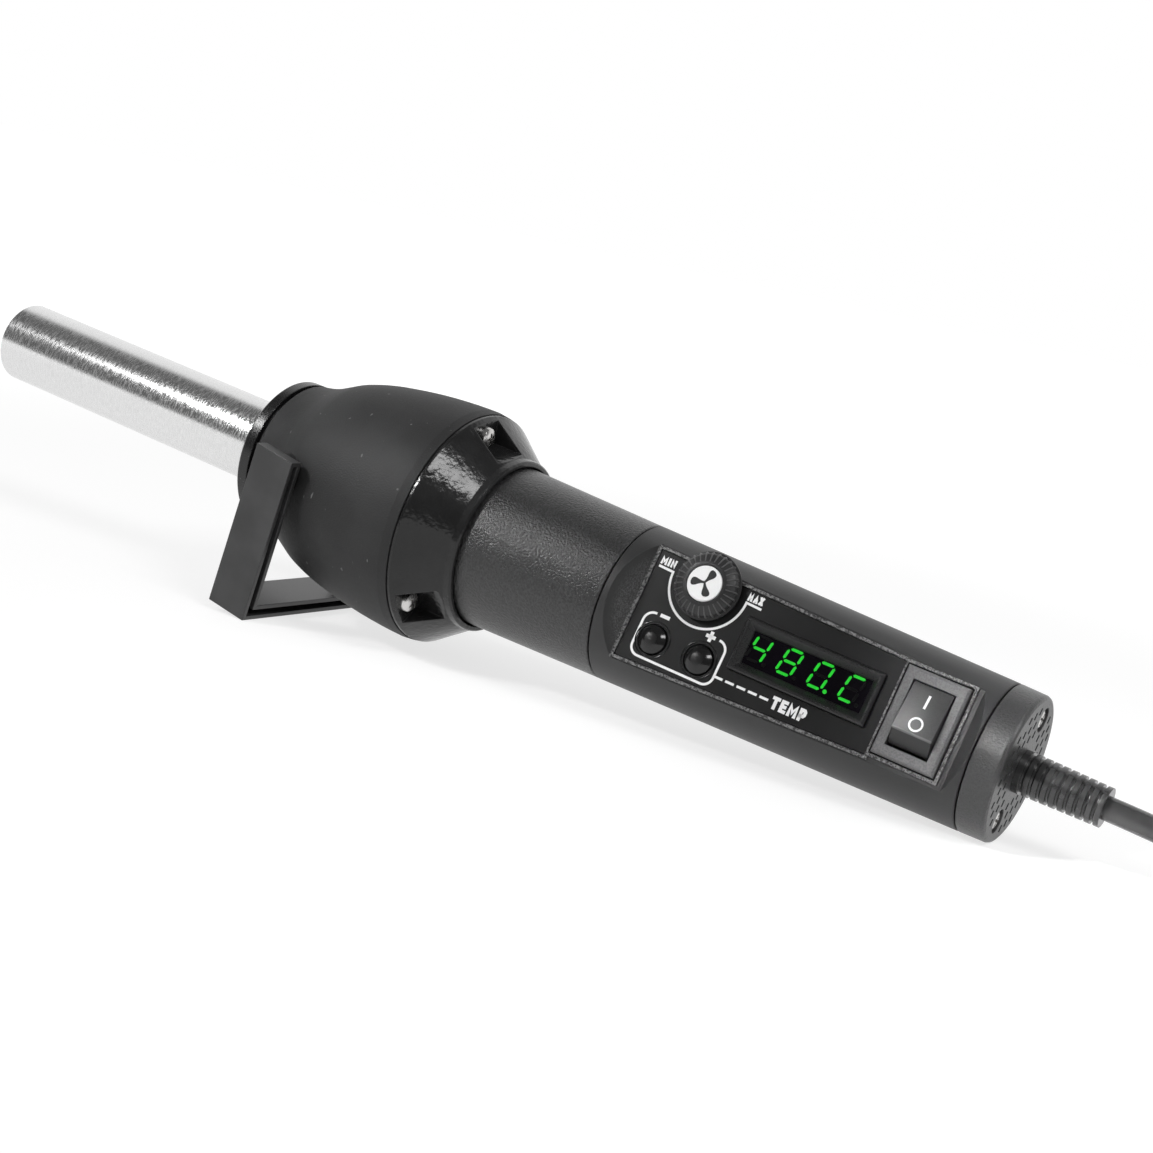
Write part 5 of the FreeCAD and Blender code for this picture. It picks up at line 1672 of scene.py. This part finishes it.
@dataclass
class Paddle:
    """The rocker's paddle at rest: a long face with both marks up to a ridge, and a short one.

    The outline's corners are in millimetres, across the tool and off the panel.
    """

    half_width: float = 4.8 * MM
    low_end: Point2 = (7.7, 3.5)
    ridge: Point2 = (-3.75, 5.8)
    crown: float = 0.2
    steps: int = 10
    below: tuple[Point2, ...] = ((-7.2, 2.9), (-7.3, 1.3), (-4.6, -1.5), (0.0, -2.6), (5.0, -2.0),
                                 (7.3, -1.2), (7.7, 0.4))
    easing: float = 0.22 * MM
    sharp: float = 18.0
    stroke: float = 0.57 * MM
    ring_stroke: float = 0.8
    mark_i: Point2 = (4.5 * MM, 3.2 * MM)
    mark_o: Point2 = (-0.95 * MM, 1.45 * MM)

    def face(self, y: float) -> float:
        """Measure the long face.

        Args:
            y: place across the tool from the paddle's axis, in millimetres.

        Returns:
            The face's height over the axis there, in millimetres.
        """
        share = (y - self.ridge[0]) / (self.low_end[0] - self.ridge[0])
        level = self.ridge[1] + share * (self.low_end[1] - self.ridge[1])
        return level + 4 * self.crown * share * (1 - share)

    def build(self, wardrobe: Wardrobe) -> None:
        """Build the paddle with eased edges, and its marks.

        Args:
            wardrobe: the materials.
        """
        reach = self.low_end[0] - self.ridge[0]
        top = [self.low_end[0] - reach * i / self.steps for i in range(self.steps + 1)]
        corners = [(y, self.face(y)) for y in top] + list(self.below)
        outline = [(y * MM, z * MM) for y, z in corners]
        work = bmesh.new()
        work.from_mesh(prism(outline, -self.half_width, self.half_width))
        limit = math.radians(self.sharp)
        edges = [edge for edge in work.edges if edge.calc_face_angle(0.0) > limit]
        bmesh.ops.bevel(work, geom=edges, offset=self.easing, segments=3, profile=0.5,
                        affect="EDGES")
        bmesh.ops.recalc_face_normals(work, faces=work.faces)
        mesh = bpy.data.meshes.new("paddle")
        work.to_mesh(mesh)
        work.free()
        middle = TOOL.middle("rocker_paddle").x
        pivot = TOOL.at(middle, TOOL.rocker.y, TOOL.rocker.z)
        moved(mesh, placed(pivot, (TOOL.y, TOOL.z, TOOL.x)))
        skin = wardrobe.get("rocker_paddle")
        paddle = finished("paddle", mesh, skin, Body.ROCKER, 30)
        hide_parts("rocker_paddle")
        self.marks(middle, wardrobe)

    def marks(self, middle: float, wardrobe: Wardrobe) -> None:
        """Lay the I and O on the long face.

        Args:
            middle: the paddle's middle along the tool, in metres.
            wardrobe: the materials.
        """
        (i_y, i_h), (o_y, o_r) = self.mark_i, self.mark_o
        bar = [(0, i_h * (k / 8 - 0.5)) for k in range(9)]
        ring = arc((0, 0), o_r, 0, 360, 40)
        drawings = ((i_y, bar, self.stroke), (o_y, ring, self.stroke * self.ring_stroke))
        marks = []
        for y, path, width in drawings:
            mark = ribbon(path, width)
            for vertex in mark.vertices:
                vertex.co.y += y
                across = (vertex.co.y - TOOL.rocker.y) / MM
                vertex.co.z += TOOL.rocker.z + self.face(across) * MM
            marks.append(moved(mark, TOOL.panel_matrix(middle, 0, 0)))
        mesh = joined("rocker_marks", marks)
        finished("rocker_marks", mesh, wardrobe.get("white_print"), Body.ROCKER)


# ---- cord -------------------------------------------------------------------------------
@dataclass
class MainsCord:
    """The mains cord: from the boot down to the bench, wound into a coil, and on to its plug.

    The diameter and the length are in metres, and the line's own sizes in millimetres.
    """

    diameter: float = 5.5 * MM
    length: float = 1.37
    first_run: float = 12.0
    lie: float = 2.8
    coil_r: float = 39.25
    coil_rows: int = 3
    end_turn: float = 0.25
    start_angle: float = 135.0
    per_turn: int = 24
    climb_turns: float = 0.5
    climbs: Point2 = (2.75, 5.6)
    route: tuple[Point3, ...] = ((24.5, 1.5, 11.5), (36.5, 7.0, 7.6), (50.3, 19.2, 3.4))
    coil_from: Point2 = (62.3, 32.8)
    tail: tuple[Point3, ...] = ((36.7, 16.9, 13.6), (47.5, 8.0, 11.2), (59.0, 2.0, 8.0),
                                (71.5, 0.5, 6.85))

    def coil_point(self, turns: float) -> Vector:
        """Measure the coil's line.

        Args:
            turns: how far along it, in turns.

        Returns:
            The place from the coil's middle, in millimetres.
        """
        d, rows = self.diameter / MM, self.coil_rows
        layer = turns // rows
        within = turns - layer * rows
        inner = self.coil_r - d * rows
        radius = self.coil_r - d * within if layer % 2 == 0 else inner + d * within
        climb = sum(min(1.0, max(0.0, (turns - start) / self.climb_turns))
                    for start in self.climbs)
        angle = math.radians(self.start_angle) - 2 * math.pi * turns
        return Vector((radius * math.cos(angle), radius * math.sin(angle), self.lie + d * climb))

    def points(self, exit_point: Vector) -> list[Vector]:
        """Lay out the cord's line.

        Args:
            exit_point: where it leaves the boot, in metres.

        Returns:
            Its control points, in millimetres.
        """
        start = exit_point / MM
        flat = Vector((start.x, start.y, 0))
        line = [start, start + TOOL.x * self.first_run]
        line += [flat + Vector(point) for point in self.route]
        first = self.coil_point(0.0)
        middle = flat + Vector((*self.coil_from, 0)) - Vector((first.x, first.y, 0))
        steps = int((2 * self.coil_rows + self.end_turn) * self.per_turn)
        line += [middle + self.coil_point(step / self.per_turn) for step in range(steps + 1)]
        line += [middle + Vector(point) for point in self.tail]
        return line

    def build(self, wardrobe: Wardrobe) -> None:
        """Args:
            wardrobe: the materials.
        """
        exit_point = TOOL.at(TOOL.span("strain_relief")[1].x)
        line = self.points(exit_point)
        curve = tube("mains_flex", "NURBS", [place * MM for place in line], self.diameter / 2, 5)
        spline = curve.splines[0]
        spline.order_u = 3
        spline.use_endpoint_u = True
        spline.resolution_u = 6
        curve.materials.append(wardrobe.get("cord_sheath"))
        flex = new_object("mains_flex", curve)
        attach(flex, Body.TOOL.value)
        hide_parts("mains_cord", "cord_tail", "cord_coil")
        LOG.info("mains_flex: %d control points", len(line))


# ---- studio -----------------------------------------------------------------------------
def facing(rise: float, turn: float) -> Vector:
    """Return the way that rises over the bench and turns round it by two angles in radians."""
    across = math.cos(rise)
    return Vector((across * math.cos(turn), across * math.sin(turn), math.sin(rise)))


@dataclass(frozen=True)
class SoftBox:
    """A soft box: angles in degrees, sizes in metres, power in watts, and its grid's spread."""

    name: str
    rise: float
    turn: float
    size: Point2
    power: float
    distance: float = 1.0
    spread: float = 180.0
    aim: Point3 = (0.0, 0.0, 0.0)

    def hang(self) -> None:
        """Hang the box so that it faces its aim."""
        data = bpy.data.lights.new(self.name, "AREA")
        data.shape = "RECTANGLE"
        data.size, data.size_y = self.size
        data.energy = self.power
        data.spread = math.radians(self.spread)
        lamp = new_object(self.name, data)
        way = facing(math.radians(self.rise), math.radians(self.turn))
        lamp.location = Vector(self.aim) + way * self.distance
        lamp.rotation_euler = way.to_track_quat("Z", "Y").to_euler()
        lamp.visible_camera = False


@dataclass
class Studio:
    """Plain pale floor, soft lights and the camera."""

    lens_mm: float = 62.446
    sensor_mm: float = 36.0
    lean: float = 25.98
    swing: float = -23.36
    roll: float = 4.0
    aim_x: float = 193.0
    offset: Point3 = (-2.48, 1.63, 488.76)
    even_light: float = 0.52
    ceiling: float = 0.14
    ceiling_way: Point3 = (0.3, -1.0, 0.6)
    ceiling_from: Point2 = (-0.08, 0.24)
    floor_half: float = 8.0
    floor_fade: Point2 = (0.25, 0.9)
    floor_glow: Point2 = (0.71, 0.3)
    floor_matt: float = 0.36
    floor_white: float = 0.8
    boxes: tuple[SoftBox, ...] = (
        SoftBox("key_box", 36.0, -130.0, (0.22, 0.07), 1.0),
        SoftBox("right_box", 46.0, -28.0, (0.34, 0.22), 3.2),
        SoftBox("grip_box", 34.0, -130.0, (0.09, 0.06), 0.02, 0.5, 22.0, (0.008, 0.0, 0.03)),
        SoftBox("cap_box", 34.0, -122.0, (0.06, 0.05), 0.02, 0.5, 9.0, (0.176, 0.0, 0.014)))

    def camera(self) -> None:
        """Set the camera by the directions that the tool's axes take in its view."""
        lean, swing, roll = (math.radians(angle) for angle in (self.lean, self.swing, self.roll))
        along = facing(lean, swing)
        toward = (Vector((0, 0, 1)) - along * math.sin(lean)) / math.cos(lean)
        sideways = Vector((-math.sin(swing), math.cos(swing), 0))
        normal = toward * math.cos(roll) + sideways * math.sin(roll)
        up_panel = sideways * math.cos(roll) - toward * math.sin(roll)
        axes = [TOOL.x * along[i] + TOOL.z * normal[i] + TOOL.y * up_panel[i] for i in range(3)]
        data = bpy.data.cameras.new("camera")
        data.lens = self.lens_mm
        data.sensor_width = self.sensor_mm
        data.clip_start = 0.01
        camera = new_object("camera", data)
        shifts = (axis * shift * MM for axis, shift in zip(axes, self.offset))
        place = TOOL.at(self.aim_x * MM) + sum(shifts, Vector())
        camera.matrix_world = placed(place, axes)
        bpy.context.scene.camera = camera

    @staticmethod
    def seen_directly(tree: Tree) -> Value:
        """Tell rays from the camera, from gloss and through glass.

        Args:
            tree: the tree that the nodes go in.

        Returns:
            The value.
        """
        rays = [tree.add("ShaderNodeLightPath", out=name)
                for name in ("Is Camera Ray", "Is Glossy Ray", "Is Transmission Ray")]
        return rays[0].math("MAXIMUM", rays[1]).math("MAXIMUM", rays[2])

    def world(self) -> None:
        """Light the scene evenly, with white behind it and a darker ceiling in the gloss."""
        world = bpy.data.worlds.new("studio")
        bpy.context.scene.world = world
        world.use_nodes = True
        tree = Tree(world.node_tree)
        world.node_tree.nodes.clear()
        way = tree.add("ShaderNodeTexCoord", out="Generated")
        inputs = {0: way, 1: self.ceiling_way}
        dot = {"operation": "DOT_PRODUCT"}
        rise = tree.add("ShaderNodeVectorMath", dot, inputs, "Value")
        ceiling = rise.step(*self.ceiling_from, 1.0, self.ceiling)
        glossy = tree.add("ShaderNodeLightPath", out="Is Glossy Ray")
        seen = self.seen_directly(tree).step(0.0, 1.0, self.even_light, 1.0)
        strength = seen * (1.0 - glossy) + ceiling * glossy
        inputs = {"Color": (1, 1, 1, 1), "Strength": strength}
        light = tree.add("ShaderNodeBackground", None, inputs)
        tree.add("ShaderNodeOutputWorld", None, {"Surface": light})

    def floor(self) -> None:
        """Lay a white floor that keeps a soft shadow."""
        half = self.floor_half
        corners = [(-half, -half, 0), (half, -half, 0), (half, half, 0), (-half, half, 0)]
        mesh = mesh_of("floor", corners, [(0, 1, 2, 3)])
        floor = new_object("floor", mesh)
        shader = Shader("floor_paper")
        length = {"operation": "LENGTH"}
        far = shader.add("ShaderNodeVectorMath", length, {0: shader.place}, "Value")
        paper = shader.noise(2.0, 3.0) * 0.01
        base, rise = self.floor_glow
        matt, white = (shader.add("ShaderNodeBsdfDiffuse", None, {"Color": (tone, tone, tone, 1)})
                       for tone in (self.floor_matt, self.floor_white))
        inputs = {"Color": (1, 1, 1, 1),
                  "Strength": far.step(*self.floor_fade) * rise + base + paper}
        glow = shader.add("ShaderNodeEmission", None, inputs)
        shown = shader.add("ShaderNodeAddShader", None, {0: matt, 1: glow})
        inputs = {0: self.seen_directly(shader), 1: white, 2: shown}
        mixed = shader.add("ShaderNodeMixShader", None, inputs)
        shader.add("ShaderNodeOutputMaterial", None, {"Surface": mixed})
        mesh.materials.append(shader.material)

    def build(self) -> None:
        """Build the studio."""
        bpy.context.scene.view_settings.view_transform = "Standard"
        self.camera()
        self.world()
        self.floor()
        for box in self.boxes:
            box.hang()


def main() -> None:
    """Build every piece in order."""
    logging.basicConfig(level=logging.INFO, format="%(name)s %(message)s")
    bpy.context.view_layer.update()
    Studio().build()
    wardrobe = Wardrobe()
    wardrobe.dress_nodes()
    MainsCord().build(wardrobe)
    rings = RingPattern()
    for screws in FASTENERS:
        screws.build(rings, wardrobe)
    Heater().build(rings, wardrobe)
    PanelPrint().build(wardrobe)
    Display().build()
    Knob().build(rings, wardrobe)
    Surrounds().build(wardrobe)
    Paddle().build(wardrobe)


if __name__ == "__main__":
    main()
